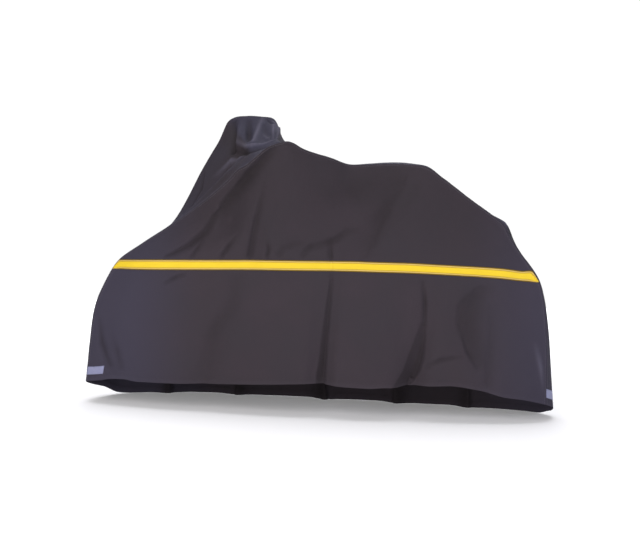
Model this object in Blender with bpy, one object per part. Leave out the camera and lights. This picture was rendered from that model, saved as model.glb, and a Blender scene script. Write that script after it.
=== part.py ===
"""Bicycle cover: two side panels, the top strip between them, a bright tape along each side
and two small labels, in the shape in which the cloth hangs over a bicycle on its stand.

Metres. +X runs to the rear wheel, -Y is the left side, +Z is up. The origin is on the ground,
under the middle of the cover. The handlebar is turned to the left, so its left grip lies lower
and further back than its right one, and the left hem is pulled up off the ground.
"""

import math

import bmesh
import bpy
import numpy as np
from mathutils import Vector

CLOTH_THICKNESS = 0.002
TAPE_THICKNESS = 0.001
LABEL_THICKNESS = 0.001
LAY_GAP = 0.0003  # between a sewn-on piece and the cloth under it
SEAM_PULL = 0.0003  # how far each cut edge stands back from its seam
TAPE_END_PULL = 0.0015  # how far the tape's ends stand back from the seams
LABEL_PULL = 0.001  # how far a label's edges stand back from the rows it covers

HEM_BAND = 0.024
LABEL_HEIGHT = 0.033
LABEL_WIDTH = 0.076
LABEL_ROW = 1  # of the rows counted from the hem
HEM_TO_TAPE = 0.42

COLUMNS = 50  # strips of cloth along each side
ROWS_OVER_LABEL = 9  # between the label's height and the tape
UPPER_PITCH = 0.037  # height of the rows above the tape
STRIP_COLUMNS = 8  # across the top strip
FADE_COLUMNS = 4  # folds die out over these towards a panel's ends
SEAM_FADE = 0.06  # and over this towards its top seam
SHARP_ANGLE = math.radians(40)
LEAST_MITRE = 0.6  # keeps a mitred edge from standing out like a spike

# The two seams between the side panels and the top strip, a row for each landmark, from the
# front hem over the bars and the saddle to the rear hem: left point, right point, and how far
# the strip stands out between them.
SEAMS = (
    # landmark,        left x,  y,      z,      right x, y,      z,      crown
    ("front hem",      -0.856, -0.115,  0.080,  -0.842,  0.060,  0.036,  0.022),
    ("front low",      -0.840, -0.120,  0.215,  -0.850,  0.050,  0.200,  0.020),
    ("front wheel",    -0.826, -0.118,  0.342,  -0.842,  0.045,  0.335,  0.016),
    ("tape foot",      -0.762, -0.105,  0.507,  -0.780,  0.045,  0.500,  0.008),
    ("tape head",      -0.737, -0.102,  0.541,  -0.758,  0.045,  0.535,  0.006),
    ("wheel top",      -0.645, -0.085,  0.609,  -0.672,  0.055,  0.599,  0.006),
    ("neck",           -0.540, -0.075,  0.680,  -0.583,  0.075,  0.674,  0.002),
    ("below the bars", -0.319, -0.165,  0.838,  -0.482,  0.170,  0.900, -0.012),
    ("bars slope",     -0.255, -0.210,  0.900,  -0.434,  0.215,  1.002, -0.026),
    ("grip front",     -0.203, -0.242,  0.947,  -0.401,  0.250,  1.082, -0.036),
    ("grip middle",    -0.143, -0.262,  0.973,  -0.320,  0.258,  1.099, -0.046),
    ("grip end",       -0.078, -0.265,  0.991,  -0.234,  0.255,  1.091, -0.034),
    ("behind the bars", -0.014, -0.215, 0.962,  -0.160,  0.155,  0.998, -0.018),
    ("before saddle",   0.070, -0.165,  0.936,  -0.010,  0.095,  0.948, -0.006),
    ("saddle nose",     0.137, -0.125,  0.914,   0.125,  0.075,  0.912,  0.004),
    ("saddle middle",   0.298, -0.130,  0.921,   0.300,  0.080,  0.918,  0.008),
    ("saddle back",     0.400, -0.135,  0.915,   0.402,  0.075,  0.903,  0.006),
    ("slope top",       0.462, -0.128,  0.878,   0.458,  0.070,  0.862,  0.002),
    ("saddle slope",    0.560, -0.110,  0.806,   0.552,  0.062,  0.792, -0.002),
    ("rack",            0.650, -0.098,  0.742,   0.650,  0.066,  0.730,  0.002),
    ("rack corner",     0.687, -0.095,  0.713,   0.687,  0.072,  0.706,  0.004),
    ("rack end",        0.708, -0.095,  0.674,   0.711,  0.072,  0.664,  0.004),
    ("behind the rack", 0.744, -0.090,  0.621,   0.744,  0.070,  0.606,  0.002),
    ("rear tape head",  0.797, -0.085,  0.546,   0.794,  0.070,  0.543,  0.003),
    ("rear tape foot",  0.820, -0.080,  0.508,   0.817,  0.070,  0.505,  0.003),
    ("rear wheel",      0.842, -0.075,  0.423,   0.840,  0.072,  0.418,  0.004),
    ("rear low",        0.855, -0.070,  0.270,   0.861,  0.080,  0.260,  0.008),
    ("rear hem",        0.859, -0.065,  0.064,   0.876,  0.095,  0.018,  0.018),
)

# The hems in plan and height, between the corners that SEAMS gives.
HEM_LEFT = (
    # x,      y,      z
    (-0.796, -0.145,  0.090),
    (-0.706, -0.175,  0.111),
    (-0.640, -0.190,  0.098),
    (-0.480, -0.215,  0.101),
    (-0.316, -0.230,  0.109),
    (-0.154, -0.243,  0.116),
    ( 0.060, -0.245,  0.126),
    ( 0.150, -0.250,  0.121),
    ( 0.234, -0.245,  0.119),
    ( 0.300, -0.230,  0.126),
    ( 0.340, -0.210,  0.134),
    ( 0.440, -0.215,  0.133),
    ( 0.523, -0.205,  0.136),
    ( 0.597, -0.195,  0.127),
    ( 0.659, -0.180,  0.112),
    ( 0.707, -0.162,  0.098),
    ( 0.780, -0.125,  0.086),
)
HEM_RIGHT = (
    (-0.794,  0.130,  0.012),
    (-0.680,  0.195,  0.004),
    (-0.560,  0.240,  0.001),
    (-0.440,  0.258,  0.005),
    (-0.270,  0.254,  0.001),
    (-0.100,  0.262,  0.004),
    ( 0.060,  0.246,  0.000),
    ( 0.200,  0.248,  0.003),
    ( 0.330,  0.228,  0.000),
    ( 0.480,  0.226,  0.003),
    ( 0.614,  0.200,  0.000),
    ( 0.730,  0.182,  0.003),
    ( 0.820,  0.150,  0.006),
)

# The tape's two edges on each side: a place along the cloth and the height of each edge.
TAPE_LEFT = (
    # x,      y,      foot z, head z
    (-0.640, -0.150,  0.510,  0.547),
    (-0.406, -0.187,  0.519,  0.556),
    (-0.215, -0.205,  0.526,  0.563),
    (-0.030, -0.215,  0.530,  0.567),
    ( 0.152, -0.213,  0.533,  0.570),
    ( 0.330, -0.198,  0.533,  0.570),
    ( 0.471, -0.178,  0.530,  0.566),
    ( 0.682, -0.130,  0.520,  0.557),
    ( 0.750, -0.105,  0.513,  0.549),
)
TAPE_RIGHT = (
    (-0.640,  0.115,  0.508,  0.545),
    (-0.420,  0.180,  0.522,  0.559),
    (-0.200,  0.195,  0.530,  0.567),
    ( 0.000,  0.180,  0.534,  0.571),
    ( 0.200,  0.165,  0.533,  0.570),
    ( 0.400,  0.155,  0.532,  0.569),
    ( 0.600,  0.130,  0.526,  0.563),
    ( 0.740,  0.100,  0.517,  0.553),
)

# The main folds, seen from the side they are on: two ends and a middle point, how deep each
# sinks at its first and last end (below zero it stands out), and how wide it is towards the
# front and towards the rear.
FOLDS_LEFT = (
    # name,           x0, z0,  x1, z1,  x2, z2,  depth 0, depth 2, front w, rear w
    ("under the grip", (-0.176, 0.925), (-0.268, 0.761), (-0.307, 0.698), 0.026, 0.020, 0.040, 0.050),
    ("to the neck",    (-0.307, 0.698), (-0.420, 0.630), (-0.530, 0.560), 0.020, 0.006, 0.030, 0.045),
    ("grip to tape",   (-0.139, 0.889), (-0.186, 0.691), (-0.217, 0.578), 0.010, 0.012, 0.026, 0.030),
    ("bars to saddle", (-0.040, 0.930), ( 0.090, 0.880), ( 0.200, 0.860), 0.010, 0.010, 0.060, 0.060),
    ("saddle broad",   ( 0.270, 0.863), ( 0.146, 0.778), ( 0.057, 0.733), 0.014, 0.008, 0.040, 0.040),
    ("saddle to tape", ( 0.345, 0.830), ( 0.231, 0.692), ( 0.169, 0.583), 0.012, 0.014, 0.036, 0.036),
    ("tape tuck",      ( 0.178, 0.683), ( 0.090, 0.625), (-0.030, 0.605), 0.006, 0.006, 0.030, 0.030),
    ("wheel fall",     (-0.274, 0.478), (-0.319, 0.294), (-0.390, 0.100), 0.006, 0.016, 0.045, 0.045),
    ("middle pleat",   ( 0.078, 0.510), ( 0.070, 0.350), ( 0.055, 0.110), 0.004, 0.030, 0.040, 0.026),
    ("rear pleat",     ( 0.425, 0.480), ( 0.420, 0.330), ( 0.372, 0.120), 0.006, 0.032, 0.034, 0.040),
    ("rear soft",      ( 0.610, 0.500), ( 0.540, 0.390), ( 0.600, 0.220), 0.008, 0.008, 0.036, 0.040),
    ("rear fall",      ( 0.648, 0.440), ( 0.656, 0.300), ( 0.640, 0.110), 0.006, 0.012, 0.030, 0.036),
    ("front corner",   (-0.796, 0.297), (-0.776, 0.220), (-0.752, 0.150), 0.005, 0.010, 0.020, 0.026),
)
FOLDS_RIGHT = (
    ("under the grip", (-0.380, 1.020), (-0.420, 0.800), (-0.440, 0.640), 0.022, 0.012, 0.050, 0.050),
    ("behind the grip", (-0.230, 0.980), (-0.200, 0.760), (-0.190, 0.590), 0.020, 0.010, 0.045, 0.050),
    ("bars to saddle", (-0.150, 0.930), ( 0.020, 0.860), ( 0.160, 0.840), 0.014, 0.008, 0.060, 0.050),
    ("saddle to tape", ( 0.320, 0.840), ( 0.240, 0.720), ( 0.200, 0.600), 0.016, 0.010, 0.040, 0.040),
    ("rack to tape",   ( 0.600, 0.700), ( 0.560, 0.640), ( 0.540, 0.580), 0.010, 0.010, 0.040, 0.040),
    ("front fall",     (-0.560, 0.480), (-0.600, 0.280), (-0.620, 0.020), 0.006, 0.022, 0.050, 0.050),
    ("second fall",    (-0.330, 0.480), (-0.350, 0.280), (-0.360, 0.020), 0.004, 0.024, 0.050, 0.045),
    ("middle fall",    (-0.020, 0.500), (-0.010, 0.280), ( 0.010, 0.020), 0.006, 0.028, 0.045, 0.045),
    ("rear fall",      ( 0.270, 0.480), ( 0.260, 0.280), ( 0.280, 0.020), 0.006, 0.024, 0.045, 0.045),
    ("last fall",      ( 0.540, 0.480), ( 0.560, 0.280), ( 0.560, 0.020), 0.006, 0.022, 0.045, 0.045),
)

# Forms of the top strip: how far along the seams by landmark number (a half is midway), how far
# across from left (0) to right (1), how high, and the reach each way.
STRIP_FORMS = (
    # name,                 landmark, across, height, landmarks, across reach
    ("ridge to the neck",        7.3,   0.22,  0.016,      0.9,   0.12),
    ("trough to the neck",       7.3,   0.50, -0.022,      0.9,   0.16),
    ("trough behind the bars",  12.2,   0.52, -0.018,      1.0,   0.22),
    ("rack corner knob",        20.4,   0.70,  0.006,      0.8,   0.25),
)

LEFT, STRIP, RIGHT = 0, 1, 2
CLOTH_COLOUR = (0.055, 0.048, 0.062, 1.0)
TAPE_COLOUR = (0.95, 0.62, 0.035, 1.0)
LABEL_COLOUR = (0.26, 0.27, 0.42, 1.0)


def clear_scene():
    for item in list(bpy.data.objects):
        bpy.data.objects.remove(item, do_unlink=True)


def smooth_through(knots, values, places):
    """A smooth curve through the values at the knots that never overshoots them."""
    knots, values = np.asarray(knots, float), np.asarray(values, float)
    step = np.diff(knots)[:, None]
    slope = np.diff(values, axis=0) / step
    before, after = slope[:-1], slope[1:]
    same_way = before * after > 0
    mean = 2 * before * after / np.where(same_way, before + after, 1.0)
    tangent = np.vstack([slope[:1], np.where(same_way, mean, 0.0), slope[-1:]])
    cell = np.clip(np.searchsorted(knots, places, side="right") - 1, 0, len(knots) - 2)
    t = ((places - knots[cell]) / (knots[cell + 1] - knots[cell]))[:, None]
    rise = t * t * (3 - 2 * t)
    lead = t * (1 - t) ** 2 * step[cell] * tangent[cell]
    trail = t * t * (t - 1) * step[cell] * tangent[cell + 1]
    return values[cell] * (1 - rise) + values[cell + 1] * rise + lead + trail


class Seams:
    """Both seams and the strip's crown, against one parameter: metres along the left seam."""

    def __init__(self):
        rows = np.array([row[1:] for row in SEAMS])
        left, right = rows[:, 0:3], rows[:, 3:6]
        length = np.linalg.norm(np.diff((left + right) / 2, axis=0), axis=1)
        self.knots = np.concatenate([[0.0], np.cumsum(length)])
        self.rows = rows
        self.landmark = {row[0]: knot for row, knot in zip(SEAMS, self.knots)}

    def at(self, places):
        values = smooth_through(self.knots, self.rows, np.asarray(places, float))
        return values[:, 0:3], values[:, 3:6], values[:, 6]

    def landmark_number(self, places):
        return np.interp(places, self.knots, np.arange(len(self.knots)))


def gauss(distance, reach):
    return np.exp(-((distance / reach) ** 2))


def fold_depth(points, folds):
    """How far the folds push each side-view point (x, z) inwards."""
    depth = np.zeros(len(points))
    for _, start, middle, end, depth_start, depth_end, front_width, rear_width in folds:
        path = np.array([start, middle, end])
        lengths = np.linalg.norm(np.diff(path, axis=0), axis=1)
        nearest = np.full(len(points), np.inf)
        along, offset = np.zeros(len(points)), np.zeros(len(points))
        for index, length in enumerate(lengths):
            run = (path[index + 1] - path[index]) / length
            reach = np.clip((points - path[index]) @ run, 0.0, length)
            foot = path[index] + reach[:, None] * run
            away = np.linalg.norm(points - foot, axis=1)
            closer = away < nearest
            nearest[closer] = away[closer]
            along[closer] = ((reach + lengths[:index].sum()) / lengths.sum())[closer]
            offset[closer] = (points - foot)[closer, 0]
        width = np.where(offset < 0, front_width, rear_width)
        depth += (depth_start + (depth_end - depth_start) * along) * gauss(nearest, width)
    return depth


def rows_below_tape():
    """Fractions of the height from hem to tape: hem band, label, then even rows."""
    first = HEM_BAND / HEM_TO_TAPE
    second = (HEM_BAND + LABEL_HEIGHT) / HEM_TO_TAPE
    return np.concatenate([[0.0, first], np.linspace(second, 1.0, ROWS_OVER_LABEL + 1)])


def side_columns(seams, places, side):
    """Points of one side panel, a column for each place along the top seam, from hem to seam.

    Each column is (points, count below the tape); all sides share the counts of the left one.
    """
    hem_table, tape_table, folds = (
        (HEM_LEFT, TAPE_LEFT, FOLDS_LEFT)
        if side == LEFT
        else (HEM_RIGHT, TAPE_RIGHT, FOLDS_RIGHT)
    )
    mark = seams.landmark

    def seam(at):
        return seams.at(at)[0 if side == LEFT else 1]

    share = (places - places[0]) / (places[-1] - places[0])
    corner = seam([mark["front hem"], mark["rear hem"]])
    hem_rows = np.vstack([corner[0], hem_table, corner[1]])
    hem_x = corner[0, 0] + share * (corner[1, 0] - corner[0, 0])
    hem = smooth_through(hem_rows[:, 0], hem_rows, hem_x)

    ends = seam([mark["tape foot"], mark["rear tape foot"]])
    heads = seam([mark["tape head"], mark["rear tape head"]])
    table = np.array(tape_table)
    foot_rows = np.vstack([ends[0], table[:, [0, 1, 2]], ends[1]])
    head_rows = np.vstack([heads[0], table[:, [0, 1, 3]], heads[1]])
    foot_x = ends[0, 0] + share * (ends[1, 0] - ends[0, 0])
    head_x = heads[0, 0] + share * (heads[1, 0] - heads[0, 0])
    foot = smooth_through(foot_rows[:, 0], foot_rows, foot_x)
    head = smooth_through(head_rows[:, 0], head_rows, head_x)
    top = seam(places)

    t = rows_below_tape()
    front_edge = seam(mark["front hem"] + t * (mark["tape foot"] - mark["front hem"]))
    rear_edge = seam(mark["rear hem"] + t * (mark["rear tape foot"] - mark["rear hem"]))
    front_bow = front_edge - (hem[0] + t[:, None] * (foot[0] - hem[0]))
    rear_bow = rear_edge - (hem[-1] + t[:, None] * (foot[-1] - hem[-1]))

    columns = []
    for i, part in enumerate(share):
        lower = hem[i] + t[:, None] * (foot[i] - hem[i])
        lower += front_bow * (1 - part) ** 3 + rear_bow * part**3
        upper = head[i] + upper_fractions(seams, places, i)[:, None] * (top[i] - head[i])
        columns.append(np.vstack([lower, upper]))
    inwards = 1.0 if side == LEFT else -1.0
    last = len(columns) - 1
    for i, column in enumerate(columns):
        depth = fold_depth(column[:, [0, 2]], folds)
        from_end = min(i, last - i, FADE_COLUMNS) / FADE_COLUMNS
        depth *= math.sin(math.pi / 2 * from_end)  # the seamed ends stay put
        depth[len(t) + 1 :] *= seam_fade(column[len(t) + 1 :], top[i])
        column[:, 1] += inwards * depth
    return columns


def seam_fade(points, seam_point):
    """Folds die out towards the seam, whose line the strip shares."""
    away = np.linalg.norm(points - seam_point, axis=1)
    return np.clip(away / SEAM_FADE, 0.0, 1.0)


def upper_fractions(seams, places, i):
    """Rows of column i above the tape, as fractions from the tape's head to the seam."""
    mark = seams.landmark
    heads = seams.at([mark["tape head"], mark["rear tape head"]])[0]
    share = (places[i] - places[0]) / (places[-1] - places[0])
    head_x = heads[0, 0] + share * (heads[1, 0] - heads[0, 0])
    table = np.array(TAPE_LEFT)
    head_z = np.interp(head_x, table[:, 0], table[:, 3])
    top = seams.at([places[i]])[0][0]
    height = math.hypot(top[2] - head_z, top[0] - head_x)
    if i in (0, len(places) - 1):
        return np.array([0.0])
    inner = np.arange(0.0, max(height - 0.6 * UPPER_PITCH, 0.001), UPPER_PITCH) / height
    return np.append(inner, 1.0)


def strip_rows(seams, stations):
    """Points across the top strip for each station, left seam to right seam."""
    left, right, crown = seams.at(stations)
    across = np.linspace(0.0, 1.0, STRIP_COLUMNS + 1)
    middle = (left + right) / 2
    forward = np.gradient(middle, axis=0)
    outward = np.cross(forward, right - left)
    outward /= np.linalg.norm(outward, axis=1)[:, None]
    number = seams.landmark_number(stations)
    bow = 4 * across * (1 - across)
    height = crown[:, None] * bow[None, :]
    for _, landmark, place, rise, reach, across_reach in STRIP_FORMS:
        bump = gauss(number[:, None] - landmark, reach) * gauss(across - place, across_reach)
        height += rise * bump * bow
    flat = left[:, None] + across[None, :, None] * (right - left)[:, None]
    return flat + height[..., None] * outward[:, None]


def sew_skin():
    """The whole cover as one sheet: every face's material_index says which piece it is in."""
    seams = Seams()
    mark = seams.landmark
    top_places = np.linspace(mark["tape head"], mark["rear tape head"], COLUMNS + 1)
    t = rows_below_tape()
    rising = mark["front hem"] + t * (mark["tape foot"] - mark["front hem"])
    falling = mark["rear hem"] + t * (mark["rear tape foot"] - mark["rear hem"])
    stations = np.concatenate([rising, top_places, falling[::-1]])

    skin = bmesh.new()
    band = skin.faces.layers.int.new("band")
    grids = {}
    for side in (LEFT, RIGHT):
        columns = side_columns(seams, top_places, side)
        grids[side] = [[skin.verts.new(p) for p in column] for column in columns]
    across = strip_rows(seams, stations)
    below = len(t)
    last = len(top_places) - 1

    def seam_verts(grid):
        front = grid[0][:below] + [grid[0][below]]
        over = [grid[i][-1] for i in range(1, last)]
        rear = [grid[last][below]] + grid[last][:below][::-1]
        return front + over + rear

    left_seam, right_seam = seam_verts(grids[LEFT]), seam_verts(grids[RIGHT])
    rows = []
    for k, points in enumerate(across):
        inner = [skin.verts.new(p) for p in points[1:-1]]
        rows.append([left_seam[k], *inner, right_seam[k]])

    def face(verts, piece, mark_value):
        made = skin.faces.new(verts)
        made.material_index = piece
        made[band] = mark_value

    for side in (LEFT, RIGHT):
        grid = grids[side]
        for i in range(last):
            a, b = grid[i], grid[i + 1]
            common = min(len(a), len(b)) - 1
            for r in range(common - (0 if common <= below else 1)):
                loop = [a[r], b[r], b[r + 1], a[r + 1]]
                face(loop if side == LEFT else loop[::-1], side, r)
            start = common if common <= below else common - 1
            loop = [*b[start:], *a[start:][::-1]]
            face(loop if side == LEFT else loop[::-1], side, start)
    for k in range(len(rows) - 1):
        for j in range(STRIP_COLUMNS):
            a, b = rows[k], rows[k + 1]
            face([a[j], b[j], b[j + 1], a[j + 1]], STRIP, k)
    bmesh.ops.recalc_face_normals(skin, faces=skin.faces[:])
    middle = grids[LEFT][last // 2][0].link_faces[0]
    if middle.normal.y > 0:  # the left panel's outer face looks to the left
        bmesh.ops.reverse_faces(skin, faces=skin.faces[:])
    skin.normal_update()
    return skin, grids, rows, below


def material(name, colour, roughness):
    made = bpy.data.materials.new(name)
    made.use_nodes = True
    shader = made.node_tree.nodes["Principled BSDF"]
    shader.inputs["Base Color"].default_value = colour
    shader.inputs["Roughness"].default_value = roughness
    shader.inputs["Metallic"].default_value = 0.0
    made.diffuse_color = colour
    return made


def cut_piece(name, faces, lift, thickness, edge_pull, finish, collection):
    """A closed sheet over some faces of the skin: its underside lies lift above the skin
    (below it where lift is negative), and its cut edges stand back by edge_pull."""
    chosen = set(faces)
    verts = {v for f in faces for v in f.verts}
    edges = {e for f in faces for e in f.edges if len(set(e.link_faces) & chosen) == 1}
    rim = {v for e in edges for v in e.verts}
    sheet = bmesh.new()
    places, normals = {}, {}
    for v in verts:
        own = [f for f in v.link_faces if f in chosen]
        normal = v.normal.copy()
        flat = sum((f.normal for f in own), Vector()).normalized()
        place = v.co.copy()
        if v in rim:
            near = [w.other_vert(v) for w in v.link_edges if w not in edges]
            inner = [w for w in near if w in verts]
            if not inner:
                inner = [w for f in own for w in f.verts if w is not v]
            heading = sum(((w.co - v.co).normalized() for w in inner), Vector())
            if heading.length > 1e-6:
                place += heading.normalized() * edge_pull
        stretch = 1.0 / max(LEAST_MITRE, normal.dot(flat))
        places[v] = place
        normals[v] = normal * stretch
    low, high = {}, {}
    for v in verts:
        high[v] = sheet.verts.new(places[v] + normals[v] * (lift + thickness))
        low[v] = sheet.verts.new(places[v] + normals[v] * lift)
    for f in faces:
        loop = list(f.verts)
        sheet.faces.new([high[v] for v in loop])
        sheet.faces.new([low[v] for v in (loop[0], *reversed(loop[1:]))])  # same diagonal
    for e in edges:
        owner = next(f for f in e.link_faces if f in chosen)
        loop = list(owner.verts)
        a, b = e.verts
        if loop[(loop.index(a) + 1) % len(loop)] is not b:
            a, b = b, a
        sheet.faces.new([high[b], high[a], low[a], low[b]])
    bmesh.ops.triangulate(
        sheet, faces=sheet.faces[:], quad_method="FIXED", ngon_method="BEAUTY"
    )
    bmesh.ops.recalc_face_normals(sheet, faces=sheet.faces[:])
    mesh = bpy.data.meshes.new(name)
    sheet.to_mesh(mesh)
    sheet.free()
    mesh.materials.append(finish)
    mesh.shade_smooth()
    mesh.set_sharp_from_angle(angle=SHARP_ANGLE)
    made = bpy.data.objects.new(name, mesh)
    collection.objects.link(made)
    return made


def build():
    clear_scene()
    collection = bpy.data.collections.new("bicycle_cover")
    bpy.context.scene.collection.children.link(collection)
    cloth = material("cloth", CLOTH_COLOUR, 0.75)
    tape = material("tape", TAPE_COLOUR, 0.45)
    woven = material("label", LABEL_COLOUR, 0.6)

    skin, grids, rows, below = sew_skin()
    band = skin.faces.layers.int["band"]
    pieces = {
        side: [f for f in skin.faces if f.material_index == side]
        for side in (LEFT, STRIP, RIGHT)
    }
    names = {LEFT: "panel_left", STRIP: "top_strip", RIGHT: "panel_right"}
    for side, name in names.items():
        cut_piece(
            name, pieces[side], -CLOTH_THICKNESS, CLOTH_THICKNESS, SEAM_PULL, cloth, collection
        )
    for side, name in ((LEFT, "tape_left"), (RIGHT, "tape_right")):
        under = [f for f in pieces[side] if f[band] == below - 1 and len(f.verts) == 4]
        cut_piece(name, under, LAY_GAP, TAPE_THICKNESS, TAPE_END_PULL, tape, collection)

    column_width = (grids[LEFT][-1][0].co.x - grids[LEFT][0][0].co.x) / COLUMNS
    wide = round(LABEL_WIDTH / column_width)
    front = {v for column in grids[LEFT][: wide + 1] for v in column}
    on_panel = [f for f in pieces[LEFT] if f[band] == LABEL_ROW and set(f.verts) <= front]
    rear_row = len(rows) - 2 - LABEL_ROW
    on_strip = [f for f in pieces[STRIP] if f[band] == rear_row][: STRIP_COLUMNS // 2]
    for name, under in (("label_front", on_panel), ("label_rear", on_strip)):
        cut_piece(name, under, LAY_GAP, LABEL_THICKNESS, LABEL_PULL, woven, collection)
    skin.free()


build()
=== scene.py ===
# %% [markdown]
# # Bicycle cover
#
# The cover is three cuts of dark woven cloth: two side panels and the long strip between them,
# with a bright tape along each side and two small labels near the hems. The packed model gives
# each cut as a plain 2 mm solid in its draped shape. This lesson keeps those shapes and gives
# them what cloth has: fine creases, sewn seams, turned hems, thread and weave. The model is
# loaded first, and its box is kept, so that the cover's growth beyond it can be printed at the end.
# The model is loaded first, and its box is kept, because the finished cover mustn't outgrow it.

import math

import bmesh
import bpy
import numpy as np
from mathutils import Matrix, Vector, noise
from mathutils.bvhtree import BVHTree
from mathutils.kdtree import KDTree


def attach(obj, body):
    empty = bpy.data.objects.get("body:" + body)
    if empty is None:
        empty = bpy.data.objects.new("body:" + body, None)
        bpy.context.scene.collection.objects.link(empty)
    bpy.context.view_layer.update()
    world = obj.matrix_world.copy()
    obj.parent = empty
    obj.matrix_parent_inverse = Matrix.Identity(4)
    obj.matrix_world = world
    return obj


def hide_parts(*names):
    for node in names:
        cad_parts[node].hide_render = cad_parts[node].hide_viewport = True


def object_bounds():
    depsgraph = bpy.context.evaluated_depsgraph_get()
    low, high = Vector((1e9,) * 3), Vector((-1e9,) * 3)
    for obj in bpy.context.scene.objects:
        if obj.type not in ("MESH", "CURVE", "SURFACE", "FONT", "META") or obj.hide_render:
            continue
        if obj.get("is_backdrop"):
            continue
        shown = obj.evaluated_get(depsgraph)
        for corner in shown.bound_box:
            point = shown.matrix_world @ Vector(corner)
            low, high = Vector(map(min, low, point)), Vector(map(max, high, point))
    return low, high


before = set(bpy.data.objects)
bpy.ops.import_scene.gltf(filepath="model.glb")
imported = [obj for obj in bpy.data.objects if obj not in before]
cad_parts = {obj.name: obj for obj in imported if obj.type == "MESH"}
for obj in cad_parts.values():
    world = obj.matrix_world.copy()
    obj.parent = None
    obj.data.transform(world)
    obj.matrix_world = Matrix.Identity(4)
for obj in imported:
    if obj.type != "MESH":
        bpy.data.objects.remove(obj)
cad_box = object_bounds()
print("nodes:", sorted(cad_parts))

# %% [markdown]
# ## The camera
#
# It comes first, because everything else is judged through it. It stands 5.5 m away at the
# height of the tape, a little to the rear of square on, and is tilted a little to one side, as
# a hand-held camera is. A constraint could aim it too, but a rotation worked out once from its
# two angles leaves nothing to evaluate, and the roll is simply multiplied on.

# %% Camera
CAMERA_DISTANCE = 5.5
CAMERA_AZIMUTH = math.radians(9.0)
CAMERA_ELEVATION = math.radians(3.8)
CAMERA_ROLL = math.radians(1.3)
CAMERA_AIM = Vector((0.0, 0.055, 0.53))
CAMERA_SIGHT = 60.0
LENS_MM = 82.0


def add_camera():
    flat = math.cos(CAMERA_ELEVATION)
    back = Vector((
        math.sin(CAMERA_AZIMUTH) * flat,
        -math.cos(CAMERA_AZIMUTH) * flat,
        math.sin(CAMERA_ELEVATION),
    ))
    data = bpy.data.cameras.new("camera")
    data.lens = LENS_MM
    data.clip_end = CAMERA_SIGHT
    camera = bpy.data.objects.new("camera", data)
    level = back.to_track_quat("Z", "Y").to_matrix()
    roll = Matrix.Rotation(CAMERA_ROLL, 3, "Z")
    camera.matrix_world = (level @ roll).to_4x4()
    camera.location = CAMERA_AIM + back * CAMERA_DISTANCE
    bpy.context.scene.collection.objects.link(camera)
    bpy.context.scene.camera = camera
    return camera


camera = add_camera()
print("camera at", tuple(round(c, 3) for c in camera.location))

# %% [markdown]
# ## Cloth from the solid
#
# Cloth is a sheet with next to no thickness, so only the outer side of each solid is wanted. The
# cloth could be drawn anew over the solid, but it would then have to be fitted to it. It is
# simpler to peel the solid. Its cut edges are 2 mm wide and nothing else on it is that narrow,
# so its faces with a very short edge are the rim. With the rim gone, two loose skins are left.
# The outer one is the one whose faces look away from the middle of the cover.

# %% Loose groups of faces
CORE = (cad_box[0] + cad_box[1]) / 2


def islands(cloth):
    """The cloth's faces in connected groups."""
    left = set(cloth.faces)
    while left:
        group, edge = set(), {left.pop()}
        while edge:
            face = edge.pop()
            group.add(face)
            near = {f for e in face.edges for f in e.link_faces} & left
            left -= near
            edge |= near
        yield group


def facing_out(group):
    """A sum that is above zero where most of the faces look away from the middle."""
    return sum((f.calc_center_median() - CORE).dot(f.normal) * f.calc_area() for f in group)


print("middle of the cover:", tuple(round(c, 3) for c in CORE))

# %% [markdown]
# The skin's triangles are joined back into squares, because a Subdivision Surface makes even
# rows from squares and bumps from triangles. A layer of sharp corners is added while the mesh is
# still untouched: a new layer makes every vertex that was looked up before it unusable.

# %% Outer skins
RIM_WIDTH = 0.0036
SAME_POINT = 1e-5
CLOTHS = ("panel_left", "top_strip", "panel_right")


def outer_skin(node):
    cloth = bmesh.new()
    cloth.from_mesh(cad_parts[node].data)
    cloth.verts.layers.float.new("crease_vert")
    bmesh.ops.remove_doubles(cloth, verts=cloth.verts[:], dist=SAME_POINT)
    rim = [f for f in cloth.faces if min(e.calc_length() for e in f.edges) < RIM_WIDTH]
    bmesh.ops.delete(cloth, geom=rim, context="FACES")
    outer = max(islands(cloth), key=facing_out)
    inner = [f for f in cloth.faces if f not in outer]
    bmesh.ops.delete(cloth, geom=inner, context="FACES")
    bmesh.ops.join_triangles(
        cloth, faces=cloth.faces[:], angle_face_threshold=math.pi, angle_shape_threshold=math.pi
    )
    return cloth


skins = {name: outer_skin(name) for name in CLOTHS}
for name, cloth in skins.items():
    squares = sum(len(f.verts) == 4 for f in cloth.faces)
    print(f"{name}: {len(cloth.faces)} faces, {squares} of them with four corners")

# %% [markdown]
# ## Closing the seams
#
# The solids keep a hair's breadth from each other. Sewn cloth has no such gap, so each edge
# point of a panel and its partner on the strip meet half way. The three cloths stay separate
# objects, as they are separate cuts. A k-d tree finds the nearest partner of a point quickly.

# %% Seams
SEAM_REACH = 0.004


def edge_verts(cloth):
    return [v for v in cloth.verts if v.is_boundary]


def tree_of(points):
    tree = KDTree(len(points))
    for index, point in enumerate(points):
        tree.insert(point, index)
    tree.balance()
    return tree


def close_seams():
    """Joins the panels' edges to the strip's, and returns the sewn points of each piece."""
    strip_edge = edge_verts(skins["top_strip"])
    tree = tree_of([v.co for v in strip_edge])
    joined = {name: set() for name in CLOTHS}
    for panel in ("panel_left", "panel_right"):
        for vert in edge_verts(skins[panel]):
            _, index, away = tree.find(vert.co)
            if away < SEAM_REACH:
                partner = strip_edge[index]
                vert.co = partner.co = (vert.co + partner.co) / 2
                joined[panel].add(vert)
                joined["top_strip"].add(partner)
    return joined


sewn = close_seams()
print("sewn points:", {name: len(verts) for name, verts in sewn.items()})

# %% [markdown]
# ## Meshes by the thousand points
#
# The pressed cloth will have tens of thousands of points. A Python loop over them is slow, so
# NumPy reads them all in one call, works on them together and writes them back.

# %% Whole meshes at once


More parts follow.
